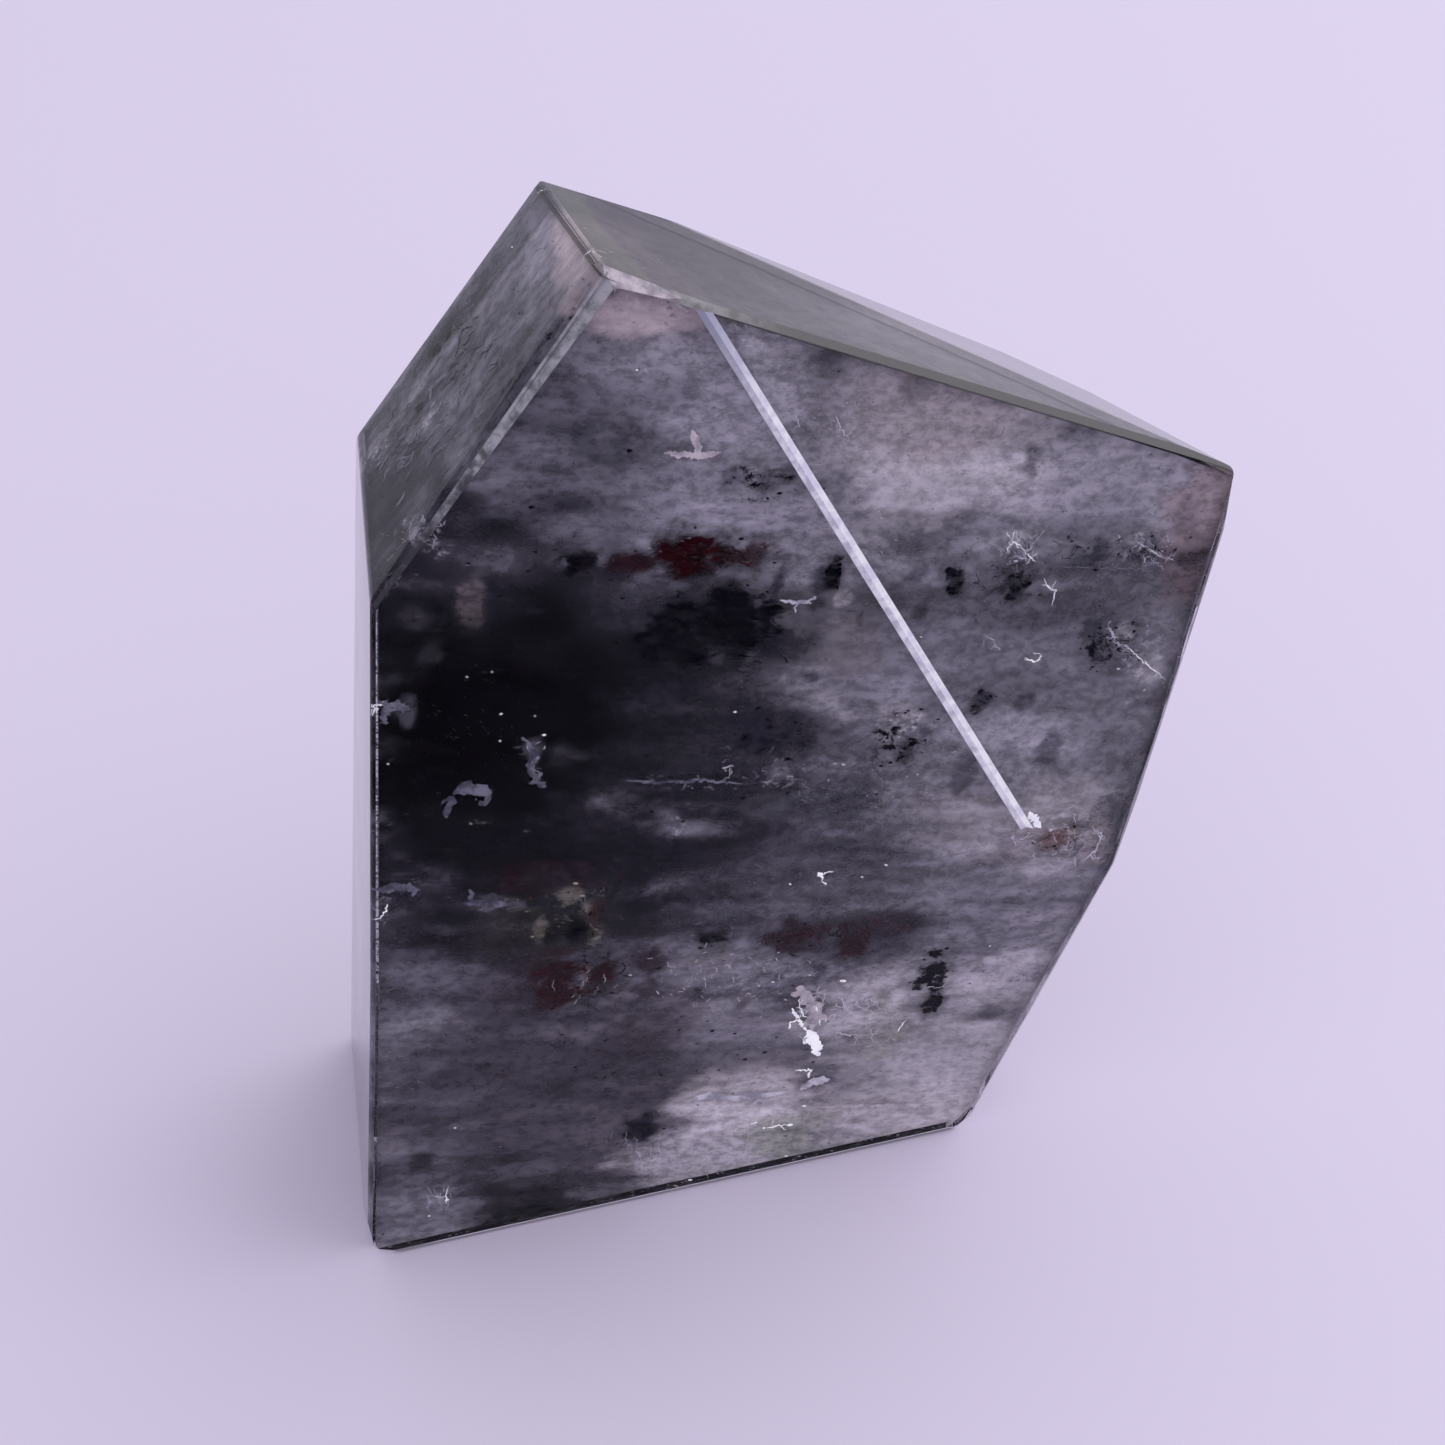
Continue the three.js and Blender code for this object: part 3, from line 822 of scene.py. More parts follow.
def veilMaterial(name, turn=-13.5, swirlScale=veilLook["swirl"]["scale"]):
    material, tree, shader, output = newMaterial(name)
    grown = addNode(tree, "ShaderNodeAttribute", attribute_name="grown")
    marked = addNode(tree, "ShaderNodeAttribute", attribute_name="marked")
    worked = addNode(tree, "ShaderNodeAttribute", attribute_name="worked")
    amounts = addNode(tree, "ShaderNodeSeparateColor")
    tree.links.new(marked.outputs["Color"], amounts.inputs["Color"])
    look, flecksLook, threadsLook = veilLook["grain"], veilLook["flecks"], veilLook["threads"]
    grain = layerNoise(tree, look["scale"], look["detail"], 0.0, turn)
    flecks = layerNoise(tree, flecksLook["scale"], flecksLook["detail"], 0.2, turn)
    threads = layerNoise(tree, threadsLook["scale"], threadsLook["detail"], 0.4, turn)
    # The middle values of a noise run in thin lines, like fine cracks.
    off = addMaths(tree, "ABSOLUTE", addMaths(tree, "SUBTRACT", threads, 0.5))
    thin = addMaths(tree, "SUBTRACT", 0.7, addMaths(tree, "MULTIPLY", off, 4.0))
    halves = [addMaths(tree, "MULTIPLY", part, 0.5) for part in (thin, grain)]
    lines = addMaths(tree, "ADD", *halves)
    masks = {
        "green": brokenMask(tree, marked.outputs["Alpha"], flecks, flecksLook),
        "maroon": brokenMask(tree, amounts.outputs[2], grain, flecksLook),
        "dark": brokenMask(tree, amounts.outputs[0], flecks, flecksLook),
        "pale": brokenMask(tree, amounts.outputs[1], lines, threadsLook),
    }
    swirl = layerNoise(tree, swirlScale, veilLook["swirl"]["detail"], 0.6, turn)
    light = addRange(tree, grain, 0.3, 0.7, *look["light"])
    broad = addRange(tree, swirl, 0.3, 0.7, *veilLook["swirl"]["light"])
    # Calm places keep little of this light and shade.
    both = addMaths(tree, "SUBTRACT", addMaths(tree, "MULTIPLY", light, broad), 1.0)
    factor = addMaths(tree, "ADD", addMaths(tree, "MULTIPLY", both, worked.outputs["Fac"]), 1.0)
    scaled = addNode(tree, "ShaderNodeVectorMath", operation="SCALE")
    tree.links.new(grown.outputs["Color"], scaled.inputs[0])
    tree.links.new(factor, scaled.inputs["Scale"])
    colour = scaled.outputs[0]
    patch = addRange(tree, grain, 0.36, 0.6, *look["thin"])
    patch = addMaths(tree, "MULTIPLY", patch, worked.outputs["Fac"])
    shown = addMaths(tree, "ADD", grown.outputs["Alpha"], patch, clamp=True)
    for kind, tones in veilLook["tones"].items():
        own = addMix(tree, addRange(tree, grain, 0.35, 0.65), *tones)
        colour = addMix(tree, masks[kind], colour, own)
        shown = addMaths(tree, "MAXIMUM", shown, masks[kind])
    tree.links.new(colour, shader.inputs["Base Color"])
    tree.links.new(shown, shader.inputs["Alpha"])
    shader.inputs["Roughness"].default_value = 0.9
    shader.inputs["Specular IOR Level"].default_value = 0.0
    return material


# The veils stand in the plane of the slab, one behind the other, and more lie under the facets around them.
veilSet = {
    "places": (0, 0.25, 0.52, 0.79, 1),  # share of the way from the front to the back
    "under": (0.8, 0.9),  # mm under the front and under the back
    "waves": (0.25, 0.7, 0.9, 0.7, 0.25),  # mm
    "waveLength": (9, 5),  # mm along and up
    "skin": 0.18,  # mm under the facets
    "steps": (330, 130, 130, 130, 200),
    "size": 66,  # mm
}
aroundVeils = {
    "depth": 0.45,
    "wave": 0.06,
    "steps": 150,
    "size": 66,
    "shoulder": ((16, 0.9, 16), (9, 0.5, 9), (2.0, 0.3, 2.0)),  # cells: streaks run up the shoulder
    "shoulderTurn": 49.6,
    "shoulderSwirl": (220, 1700, 1700),
    # Painted reflection: under the top facets a plain greenish grey, dim to the left, stands in for the
    # facets' grazing reflection.
    "paintedTopReflection": dict(tone=tone(88, 90, 85), share=0.8, texture=0.6, dim=tone(34, 37, 32), span=(-5, 4)),
    "topClear": 0.56,  # mm under the top facets, where the veils of the slab end
    # Painted shade: a dark plain sheet just over the base makes the dark line where the stone meets the
    # floor.
    "paintedBaseShade": dict(tone=tone(24, 21, 27), share=1.0, texture=0.3, dim=tone(24, 21, 27), span=(-5, 4)),
    "baseDepth": 0.2,
    "topWithin": 0.4,  # radians from where the top facet looks
    "shoulderWithin": 0.1,
}


def isTop(normal):
    return normal.angle(looksTo("top")) < aroundVeils["topWithin"]


def trimToStone(bm, skin, aroundSkin=None):
    # Keeps what lies this many mm under the front and back, and under the facets around them
    spots = np.array([v.co for v in bm.verts])
    for number, (normal, reach) in enumerate(zip(trimNormals, trimReaches)):
        front = abs(normal[1]) > slabLean or number >= len(facetNormals)
        under = skin if aroundSkin is None or front else aroundSkin
        if aroundSkin and isTop(Vector(normal)):
            under = aroundVeils["topClear"]
        if (spots @ normal).max() < reach - under * mm:
            continue
        bmesh.ops.bisect_plane(
            bm, geom=bm.verts[:] + bm.edges[:] + bm.faces[:], dist=1e-7,
            plane_co=Vector(normal) * (reach - under * mm), plane_no=normal, clear_outer=True,
        )


def veilSheet(steps, size, turn, middle):
    bm = bmesh.new()
    bmesh.ops.create_grid(bm, x_segments=steps, y_segments=steps, size=size * mm / 2)
    bmesh.ops.rotate(bm, verts=bm.verts, cent=(0, 0, 0), matrix=turn)
    bmesh.ops.translate(bm, verts=bm.verts, vec=middle)
    return bm, np.array([v.co for v in bm.verts])


def finishVeil(name, bm, material, aroundSkin=None, cells=None, plain=None):
    trimToStone(bm, veilSet["skin"] - 0.01, aroundSkin)
    piece = finishPiece(name, bm, [material], "milky_inclusion")
    spots = np.array([v.co for v in piece.data.vertices])
    grown, amounts = gardenTone(spots, cells), gardenMarks(spots)
    # A plain tone is painted over the garden: painted reflection under the top facets, painted shade over
    # the base.
    if plain:
        # Painted light: dimmer to the left of the span, which is in mm
        lit = rise(spots[:, 0] / mm, *plain["span"])[:, None]
        own = np.array(plain["dim"][:3]) * (1 - lit) + np.array(plain["tone"][:3]) * lit
        grown[:, :3] += (own - grown[:, :3]) * plain["share"]
        grown[:, 3] = 1
        grown[:, 4] = plain["texture"]
        amounts *= 1 - plain["share"]
    paintTone(piece.data, "grown", grown[:, :4])
    paintTone(piece.data, "marked", amounts)
    paintTone(piece.data, "worked", grown[:, [4, 4, 4, 4]])


def makeVeils():
    material = veilMaterial("gardenVeil")
    low, high = cadBox
    upright = Matrix.Rotation(math.pi / 2, 3, "X")
    middle = Vector(((low.x + high.x) / 2, 0, high.z / 2))
    rows = zip(veilSet["places"], veilSet["waves"], veilSet["steps"])
    for number, (share, wave, steps) in enumerate(rows):
        bm, spots = veilSheet(steps, veilSet["size"], upright, middle)
        front, back = slabSides(spots)
        front, back = front + veilSet["under"][0] * mm, back - veilSet["under"][1] * mm
        along, up = veilSet["waveLength"]
        waves = (cloudNoise(spots, (along, 5, up), 40 + number) - 0.5) * 2 * wave * mm
        for vertex, y in zip(bm.verts, front + (back - front) * share + waves):
            vertex.co.y = y
        finishVeil(f"veil_{number + 1}", bm, material, aroundVeils["depth"])


def makeAroundVeils():
    level = bpy.data.materials["gardenVeil"]
    steep = veilMaterial("shoulderVeil", aroundVeils["shoulderTurn"], aroundVeils["shoulderSwirl"])
    centre = Vector((0, 0, cadBox[1].z / 2))
    for number, (normal, reach) in enumerate(zip(facetNormals, facetReaches)):
        normal = Vector(normal)
        if abs(normal.y) > slabLean:
            continue
        onBase = normal.z < -0.9
        depth = aroundVeils["baseDepth"] if onBase else aroundVeils["depth"]
        way = normal * (reach - depth * mm - normal.dot(centre))
        turn = normal.to_track_quat("Z", "Y").to_matrix()
        bm, spots = veilSheet(aroundVeils["steps"], aroundVeils["size"], turn, centre + way)
        waves = (cloudNoise(spots, (6, 6, 6), 50 + number) - 0.5) * 2 * aroundVeils["wave"] * mm
        if onBase:
            waves *= 0
        for vertex, wave in zip(bm.verts, waves):
            vertex.co += normal * wave
        onShoulder = normal.angle(looksTo("shoulder")) < aroundVeils["shoulderWithin"]
        cells = aroundVeils["shoulder"] if onShoulder else None
        # The top sheets get the plain painted reflection, the base sheet the plain painted shade.
        plain = aroundVeils["paintedTopReflection"] if isTop(normal) else aroundVeils["paintedBaseShade"] if onBase else None
        finishVeil(f"around_{number + 1}", bm, steep if onShoulder else level, cells=cells, plain=plain)


makeVeils()
makeAroundVeils()
print("veils hung")


# Grains and cracks
kinds = {
    "dark": dict(slot="dark_inclusion", rough=0.5, tones=(tone(0, 0, 2), tone(14, 12, 20))),
    "maroon": dict(slot="rusty_inclusion", rough=0.5, tones=(tone(12, 3, 5), tone(54, 13, 16))),
    "pale": dict(slot="milky_inclusion", rough=0.7, tones=(tone(150, 146, 160), tone(216, 212, 224))),
    "green": dict(slot="green_inclusion", rough=0.8, tones=(tone(112, 105, 86), tone(186, 178, 152))),
    # The white kind is white cracks and flecks whose glow is a painted glint: they shine though they are no
    # lamp.
    "bright": dict(
        slot="milky_inclusion", rough=0.4, tones=(tone(226, 224, 236), tone(255, 255, 255)), glow=0.25,
    ),
    "grey": dict(slot="milky_inclusion", rough=0.8, tones=(tone(66, 66, 80), tone(122, 120, 136))),
    "haze": dict(slot="milky_inclusion", rough=0.8, tones=(tone(158, 150, 158), tone(204, 194, 202))),
}


def growthMaterial(name):
    look = kinds[name]
    material, tree, shader, output = newMaterial(name + "Growth")
    coords = addNode(tree, "ShaderNodeTexCoord")
    noise = addNode(tree, "ShaderNodeTexNoise", Scale=1100.0, Detail=4.0, Roughness=0.65)
    tree.links.new(coords.outputs["Object"], noise.inputs["Vector"])
    colour = addMix(tree, addRange(tree, noise.outputs["Fac"], 0.35, 0.65), *look["tones"])
    tree.links.new(colour, shader.inputs["Base Color"])
    # Emission paints a glint on the white kind; the other kinds have none.
    tree.links.new(colour, shader.inputs["Emission Color"])
    shader.inputs["Emission Strength"].default_value = look.get("glow", 0)
    shader.inputs["Roughness"].default_value = look["rough"]
    shader.inputs["Specular IOR Level"].default_value = 0.05
    return material


def shapeArrays(bm):
    # A small shape's corners and triangles, ready to be copied many times
    bmesh.ops.triangulate(bm, faces=bm.faces)
    corners = np.array([v.co for v in bm.verts])
    faces = np.array([[v.index for v in f.verts] for f in bm.faces])
    bm.free()
    return corners, faces


def splinterShape():
    bm = bmesh.new()
    bmesh.ops.create_cone(bm, cap_ends=True, segments=3, radius1=1.0, radius2=0.0, depth=1.1)
    bm.verts.index_update()
    return shapeArrays(bm)


def grainShape():
    bm = bmesh.new()
    bmesh.ops.create_icosphere(bm, subdivisions=1, radius=1.0)
    bm.verts.index_update()
    return shapeArrays(bm)


def randomTurns(rng, count, loose):
    # Turns that keep near the layers where loose is small and point anywhere where it is large
    axes = rng.normal(size=(count, 3))
    axes /= np.linalg.norm(axes, axis=1)[:, None]
    angles = rng.normal(size=count) * loose
    cross = np.zeros((count, 3, 3))
    cross[:, 0, 1], cross[:, 0, 2], cross[:, 1, 2] = -axes[:, 2], axes[:, 1], -axes[:, 0]
    cross -= cross.transpose(0, 2, 1)
    sine, cosine = np.sin(angles)[:, None, None], np.cos(angles)[:, None, None]
    return np.eye(3) + sine * cross + (1 - cosine) * cross @ cross


def joinCopies(name, shape, places, frames, material, slotName):
    # One mesh of many copies of a small shape, each with its own 3 by 3 frame, in metres
    corners, faces = shape
    count = len(places)
    points = np.einsum("nij,vj->nvi", frames, corners) + places[:, None, :]
    triangles = faces[None, :, :] + (np.arange(count) * len(corners))[:, None, None]
    mesh = bpy.data.meshes.new(name)
    mesh.vertices.add(points.size // 3)
    mesh.vertices.foreach_set("co", points.astype(np.float32).ravel())
    mesh.loops.add(triangles.size)
    mesh.loops.foreach_set("vertex_index", triangles.astype(np.int32).ravel())
    mesh.polygons.add(triangles.size // 3)
    mesh.polygons.foreach_set("loop_start", np.arange(0, triangles.size, 3, dtype=np.int32))
    mesh.update(calc_edges=True)
    mesh.validate()
    mesh.materials.append(material)
    piece = bpy.data.objects.new(name, mesh)
    bpy.context.scene.collection.objects.link(piece)
    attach(piece, "root")
    return piece


# Every mark also has loose grains in it and around it.
grainLook = {
    "perMm2": {"dark": 14, "pale": 2.5, "maroon": 14, "green": 5},
    "size": (0.04, 0.2),  # mm
    "stretch": 1.9,
    "thin": 0.45,
    "loose": 0.5,
    "skin": 0.3,
    "spread": (0.55, 0.35, 0.55),  # of a mark's half size
    "sparkleDepth": 0.4,  # mm
    "sparkleSize": 0.7,
    "seed": 7,
}
# Painted glints: glowing white grains at these pixels, each with a size in mm.
sparkles = [  # pixel and size in mm
    ((501, 714), 0.16), ((467, 677), 0.12), ((535, 716), 0.12), ((544, 735), 0.2), ((492, 672), 0.1),
    ((500, 741), 0.12), ((380, 705), 0.2), ((388, 764), 0.14), ((735, 712), 0.2), ((637, 370), 0.14),
    ((790, 1125), 0.34), ((843, 981), 0.34), ((804, 1106), 0.26), ((820, 875), 0.3), ((886, 865), 0.2),
    ((862, 877), 0.16), ((990, 946), 0.16), ((921, 637), 0.16), ((541, 191), 0.2), ((512, 247), 0.14),
    ((447, 1200), 0.24), ((429, 1216), 0.16), ((690, 1180), 0.24), ((376, 915), 0.2), ((786, 1156), 0.2),
    ((773, 982), 0.16), ((752, 1124), 0.16), ((764, 1128), 0.2), ((455, 1128), 0.14), ((790, 884), 0.16),
]


def makeGrains(materials):
    rng = np.random.default_rng(grainLook["seed"])
    basis = np.array(layerTurn)
    shape = grainShape()
    small, large = grainLook["size"]
    every = marks + hiddenMarks()
    for kind, look in kinds.items():
        spots, sizes = [], []
        for mark in (one for one in every if one["kind"] == kind):
            middle, half = patchFrame(mark)
            perMm2 = grainLook["perMm2"][kind]
            count = int(perMm2 * half[0] * half[2] / mm / mm * math.pi * mark["share"] ** 2)
            offsets = rng.normal(size=(count, 3)) * half * grainLook["spread"]
            spots.append((middle + offsets) @ basis.T)
            sizes.append(small * (large / small) ** rng.random(count) ** 1.8)
        # The painted glints join the white grains.
        if kind == "bright":
            spots.append(np.array([seenAt(pixel, grainLook["sparkleDepth"]) for pixel, _ in sparkles]))
            sizes.append(np.array([size for _, size in sparkles]) * grainLook["sparkleSize"])
        if not spots:
            continue
        spots, sizes = np.concatenate(spots), np.concatenate(sizes) * mm * 0.5
        parts = np.stack([sizes * grainLook["stretch"], sizes * grainLook["thin"], sizes], axis=1)
        turns = basis @ randomTurns(rng, len(spots), grainLook["loose"])
        keep = isInside(spots, grainLook["skin"])
        frames = (turns * parts[:, None, :])[keep]
        joinCopies(kind + "_grains", shape, spots[keep], frames, materials[kind], look["slot"])
        print(kind, "grains", int(keep.sum()))


# Pixels along each crack, its width in mm, how many twigs leave it, and its depth where it isn't the usual
crackParts = ("kind", "line", "width", "twigs", "depth")
cracks = [
    dict(zip(crackParts, row)) for row in (
        ("haze", ((664, 453), (684, 455), (704, 456), (721, 452)), 0.5, 1),
        ("haze", ((700, 454), (697, 442), (692, 430)), 0.6, 1),
        ("pale", ((1108, 626), (1116, 640), (1130, 650)), 0.2, 5),
        ("bright", ((1124, 644), (1146, 664), (1166, 680)), 0.07, 2),
        ("bright", ((1010, 538), (1022, 546), (1030, 556), (1036, 562)), 0.09, 9),
        ("pale", ((1014, 556), (1030, 548), (1040, 536)), 0.08, 6),
        ("pale", ((1124, 558), (1140, 542), (1152, 552), (1168, 560)), 0.1, 12),
        ("grey", ((1044, 566), (1100, 568), (1160, 570)), 0.07, 3),
        ("bright", ((1044, 578), (1050, 588), (1056, 590), (1052, 606)), 0.08, 2),
        ("pale", ((984, 634), (994, 640), (1000, 650), (992, 646)), 0.08, 2),
        ("bright", ((1024, 658), (1036, 662), (1042, 656)), 0.09, 3),
        ("pale", ((836, 414), (842, 430), (850, 440)), 0.09, 4),
        ("pale", ((796, 414), (800, 428)), 0.08, 2), ("pale", ((640, 370), (648, 373)), 0.1, 1),
        ("bright", ((792, 1008), (798, 1018), (808, 1032)), 0.3, 1),
        ("bright", ((808, 1030), (814, 1042), (819, 1056)), 1.1, 1),
        ("haze", ((802, 988), (810, 1000), (816, 1012), (812, 1030)), 1.2, 8),
        ("bright", ((806, 1000), (818, 1010), (820, 1026)), 0.16, 3),
        ("bright", ((795, 1070), (806, 1071), (813, 1069)), 0.16, 0),
        ("bright", ((808, 1068), (809, 1078)), 0.2, 0),
        ("pale", ((800, 1090), (812, 1082), (830, 1079)), 0.8, 1),
        ("pale", ((824, 1034), (838, 1032), (860, 1036), (872, 1034)), 0.1, 9),
        ("pale", ((840, 1018), (852, 1004), (866, 1010), (880, 1000)), 0.08, 9),
        ("pale", ((850, 990), (866, 994), (884, 1012)), 0.08, 8),
        ("bright", ((898, 1032), (906, 1020)), 0.12, 0),
        ("bright", ((766, 1128), (778, 1126), (790, 1124)), 0.12, 2),
        ("bright", ((752, 1124), (758, 1122)), 0.14, 0),
        ("pale", ((686, 1102), (706, 1096), (740, 1098), (788, 1092)), 0.7, 2),
        ("pale", ((1018, 983), (1024, 977), (1032, 980)), 0.08, 2),
        ("pale", ((922, 989), (930, 986), (940, 988), (948, 982)), 0.09, 0),
        ("bright", ((373, 716), (376, 706), (384, 701)), 0.14, 1),
        ("grey", ((382, 712), (396, 706), (410, 710)), 0.8, 6),
        ("bright", ((376, 920), (384, 912), (388, 904)), 0.14, 0),
        ("grey", ((453, 794), (466, 788), (480, 790), (492, 794)), 1.0, 2),
        ("grey", ((454, 796), (448, 806), (446, 818)), 0.6, 1),
        ("grey", ((526, 740), (534, 756), (530, 770), (540, 784)), 0.6, 9),
        ("grey", ((626, 780), (660, 782), (700, 780), (742, 784)), 0.25, 5),
        ("pale", ((1020, 842), (1012, 836), (1016, 846)), 0.2, 2),
        ("pale", ((1090, 826), (1102, 834), (1096, 850), (1080, 862)), 0.16, 7),
        ("pale", ((404, 528), (418, 522), (432, 532)), 0.2, 7),
        ("pale", ((382, 566), (396, 552), (408, 538)), 0.12, 4),
        ("bright", ((448, 1188), (446, 1204)), 0.12, 1),
        ("haze", ((813, 1107), (880, 1105), (930, 1105), (962, 1103)), 0.4, 0),
        ("haze", ((592, 290), (612, 283), (640, 285), (668, 296), (689, 312)), 0.3, 3),
        # Painted glints of the two chipped corners: glowing white cracks just under the surface.
        ("bright", ((582, 262), (590, 250), (594, 248)), 0.1, 1, 0.2),
        ("bright", ((592, 250), (602, 258)), 0.12, 1, 0.2),
        ("bright", ((1029, 812), (1034, 819), (1041, 828)), 0.6, 0, 0.3),
        ("grey", ((750, 902), (800, 886), (860, 872), (930, 860), (985, 848)), 0.08, 6),
        ("bright", ((818, 872), (824, 878)), 0.2, 2), ("pale", ((722, 768), (734, 766)), 0.14, 3),
        ("pale", ((780, 600), (796, 603), (812, 600)), 0.3, 3),
        ("bright", ((799, 1004), (801, 1012), (807, 1018)), 0.12, 3),
        ("pale", ((806, 986), (800, 994), (802, 1004)), 0.1, 4),
        ("pale", ((812, 1000), (822, 994), (828, 1002)), 0.1, 4),
        ("grey", ((462, 903), (486, 901), (510, 905)), 0.6, 3),
        ("grey", ((372, 890), (396, 886), (420, 890)), 0.7, 4),
    )
]
# Many short cracks about a box of pixels: how many, at what lean in degrees (middle and spread), how long
# in pixels and how wide in mm
webParts = ("kind", "box", "count", "lean", "reach", "width")
webs = [
    dict(zip(webParts, row)) for row in (
        ("pale", (830, 985, 904, 1045), 44, (0, 90), (5, 16), (0.04, 0.09)),
        ("pale", (790, 975, 836, 1040), 18, (70, 60), (5, 14), (0.05, 0.12)),
        ("haze", (650, 945, 820, 1000), 50, (0, 90), (3, 7), (0.05, 0.12)),
        ("pale", (610, 1128, 790, 1178), 44, (90, 14), (8, 24), (0.03, 0.06)),
        ("pale", (424, 1184, 456, 1216), 12, (90, 20), (5, 14), (0.04, 0.08)),
        ("grey", (1002, 532, 1046, 568), 18, (-52, 40), (5, 16), (0.05, 0.12)),
        ("pale", (1002, 532, 1046, 568), 6, (-52, 40), (6, 16), (0.03, 0.07)),
        ("grey", (1114, 532, 1176, 568), 22, (-48, 36), (5, 18), (0.05, 0.12)),
        ("pale", (1114, 532, 1176, 568), 8, (-48, 36), (6, 18), (0.03, 0.07)),
        ("grey", (1084, 618, 1166, 676), 18, (-40, 50), (5, 16), (0.05, 0.12)),
        ("grey", (872, 704, 932, 742), 14, (0, 70), (4, 12), (0.05, 0.12)),
        ("grey", (720, 740, 940, 820), 36, (0, 50), (4, 12), (0.05, 0.12)),
        ("haze", (1010, 818, 1100, 866), 26, (0, 90), (4, 12), (0.05, 0.12)),
        ("haze", (384, 514, 440, 544), 20, (10, 60), (5, 16), (0.04, 0.1)),
        ("grey", (362, 556, 420, 600), 16, (30, 60), (5, 14), (0.05, 0.1)),
        ("haze", (720, 316, 800, 340), 12, (-10, 40), (5, 16), (0.04, 0.1)),
        ("grey", (780, 350, 1020, 470), 24, (50, 40), (4, 12), (0.03, 0.08)),
        ("haze", (510, 738, 548, 786), 6, (70, 40), (4, 10), (0.04, 0.1)),
        ("grey", (560, 870, 800, 940), 20, (0, 60), (4, 10), (0.04, 0.1)),
        ("haze", (940, 1020, 1040, 1080), 12, (40, 60), (4, 10), (0.03, 0.06)),
        ("dark", (1000, 540, 1200, 566), 24, (8, 36), (4, 12), (0.04, 0.12)),
        ("dark", (1080, 622, 1140, 664), 10, (-40, 30), (4, 12), (0.04, 0.12)),
        ("dark", (870, 720, 930, 762), 10, (-20, 60), (4, 12), (0.04, 0.12)),
        ("dark", (718, 470, 800, 494), 8, (0, 40), (4, 10), (0.05, 0.12)),
        ("dark", (640, 584, 790, 670), 40, (0, 70), (4, 14), (0.06, 0.2)),
        ("dark", (930, 560, 1040, 600), 12, (-20, 50), (4, 12), (0.04, 0.12)),
        ("dark", (560, 900, 640, 960), 14, (0, 90), (3, 10), (0.06, 0.2)),
        ("maroon", (650, 543, 770, 570), 34, (0, 30), (6, 22), (0.05, 0.18)),
        ("maroon", (528, 958, 620, 1010), 30, (0, 60), (4, 14), (0.06, 0.2)),
        ("maroon", (764, 914, 920, 956), 34, (60, 50), (4, 14), (0.05, 0.16)),
        ("maroon", (1034, 828, 1078, 850), 9, (0, 60), (4, 12), (0.05, 0.16)),
        ("haze", (530, 962, 616, 1006), 10, (60, 20), (5, 14), (0.03, 0.06)),
    )
]
webs += [  # streaks that rise with the shoulder
    dict(zip(webParts, (kind, box, count, (52, 9), reach, width)), depth=0.28, facing="shoulder")
    for kind, box, count, reach, width in (
        ("dark", (420, 320, 500, 400), 34, (8, 34), (0.05, 0.2)),
        ("dark", (380, 400, 450, 480), 26, (8, 30), (0.04, 0.16)),
        ("grey", (400, 380, 470, 460), 22, (14, 50), (0.06, 0.3)),
        ("grey", (376, 430, 420, 500), 14, (14, 46), (0.06, 0.3)),
        ("grey", (440, 250, 560, 400), 40, (8, 34), (0.03, 0.12)),
    )
]
crackLook = {"depth": 0.5, "step": 0.1, "wander": 0.05, "twig": (0.25, 1.0), "twigWidth": 0.55, "seed": 17}


def crackLines(rng):
    # Every crack and its twigs as places in the stone, with a width in mm
    for crack in cracks:
        depth = crack.get("depth", crackLook["depth"])
        line = [seenAt(pixel, depth) for pixel in crack["line"]]
        yield crack["kind"], line, crack["width"], "frontUpper"
        for _ in range(crack["twigs"]):
            part = int(rng.integers(len(line) - 1))
            start = line[part].lerp(line[part + 1], rng.random())
            angle = rng.uniform(0, 2 * math.pi)
            reach = rng.uniform(*crackLook["twig"]) * mm
            end = start + Vector((math.cos(angle), 0, math.sin(angle))) * reach
            bend = start.lerp(end, 0.5) + Vector((rng.normal(), 0, rng.normal())) * reach * 0.15
            yield crack["kind"], [start, bend, end], crack["width"] * crackLook["twigWidth"], "frontUpper"


def webLines(rng):
    for web in webs:
        low, high = np.array(web["box"][:2]), np.array(web["box"][2:])
        for _ in range(web["count"]):
            middle = np.clip(rng.normal((low + high) / 2, (high - low) / 4), low, high)
            lean = math.radians(rng.normal(*web["lean"]))
            half = np.array([math.cos(lean), -math.sin(lean)]) * rng.uniform(*web["reach"]) / 2
            bend = rng.normal(size=2) * np.linalg.norm(half) * 0.2
            depth = web.get("depth", crackLook["depth"]) + rng.uniform(-0.1, 0)
            pixels = (middle - half, middle + bend, middle + half)
            try:
                line = [seenAt(pixel, depth) for pixel in pixels]
            except ValueError:
                continue  # a web may reach past the stone's outline
            yield web["kind"], line, rng.uniform(*web["width"]), web.get("facing", "frontUpper")


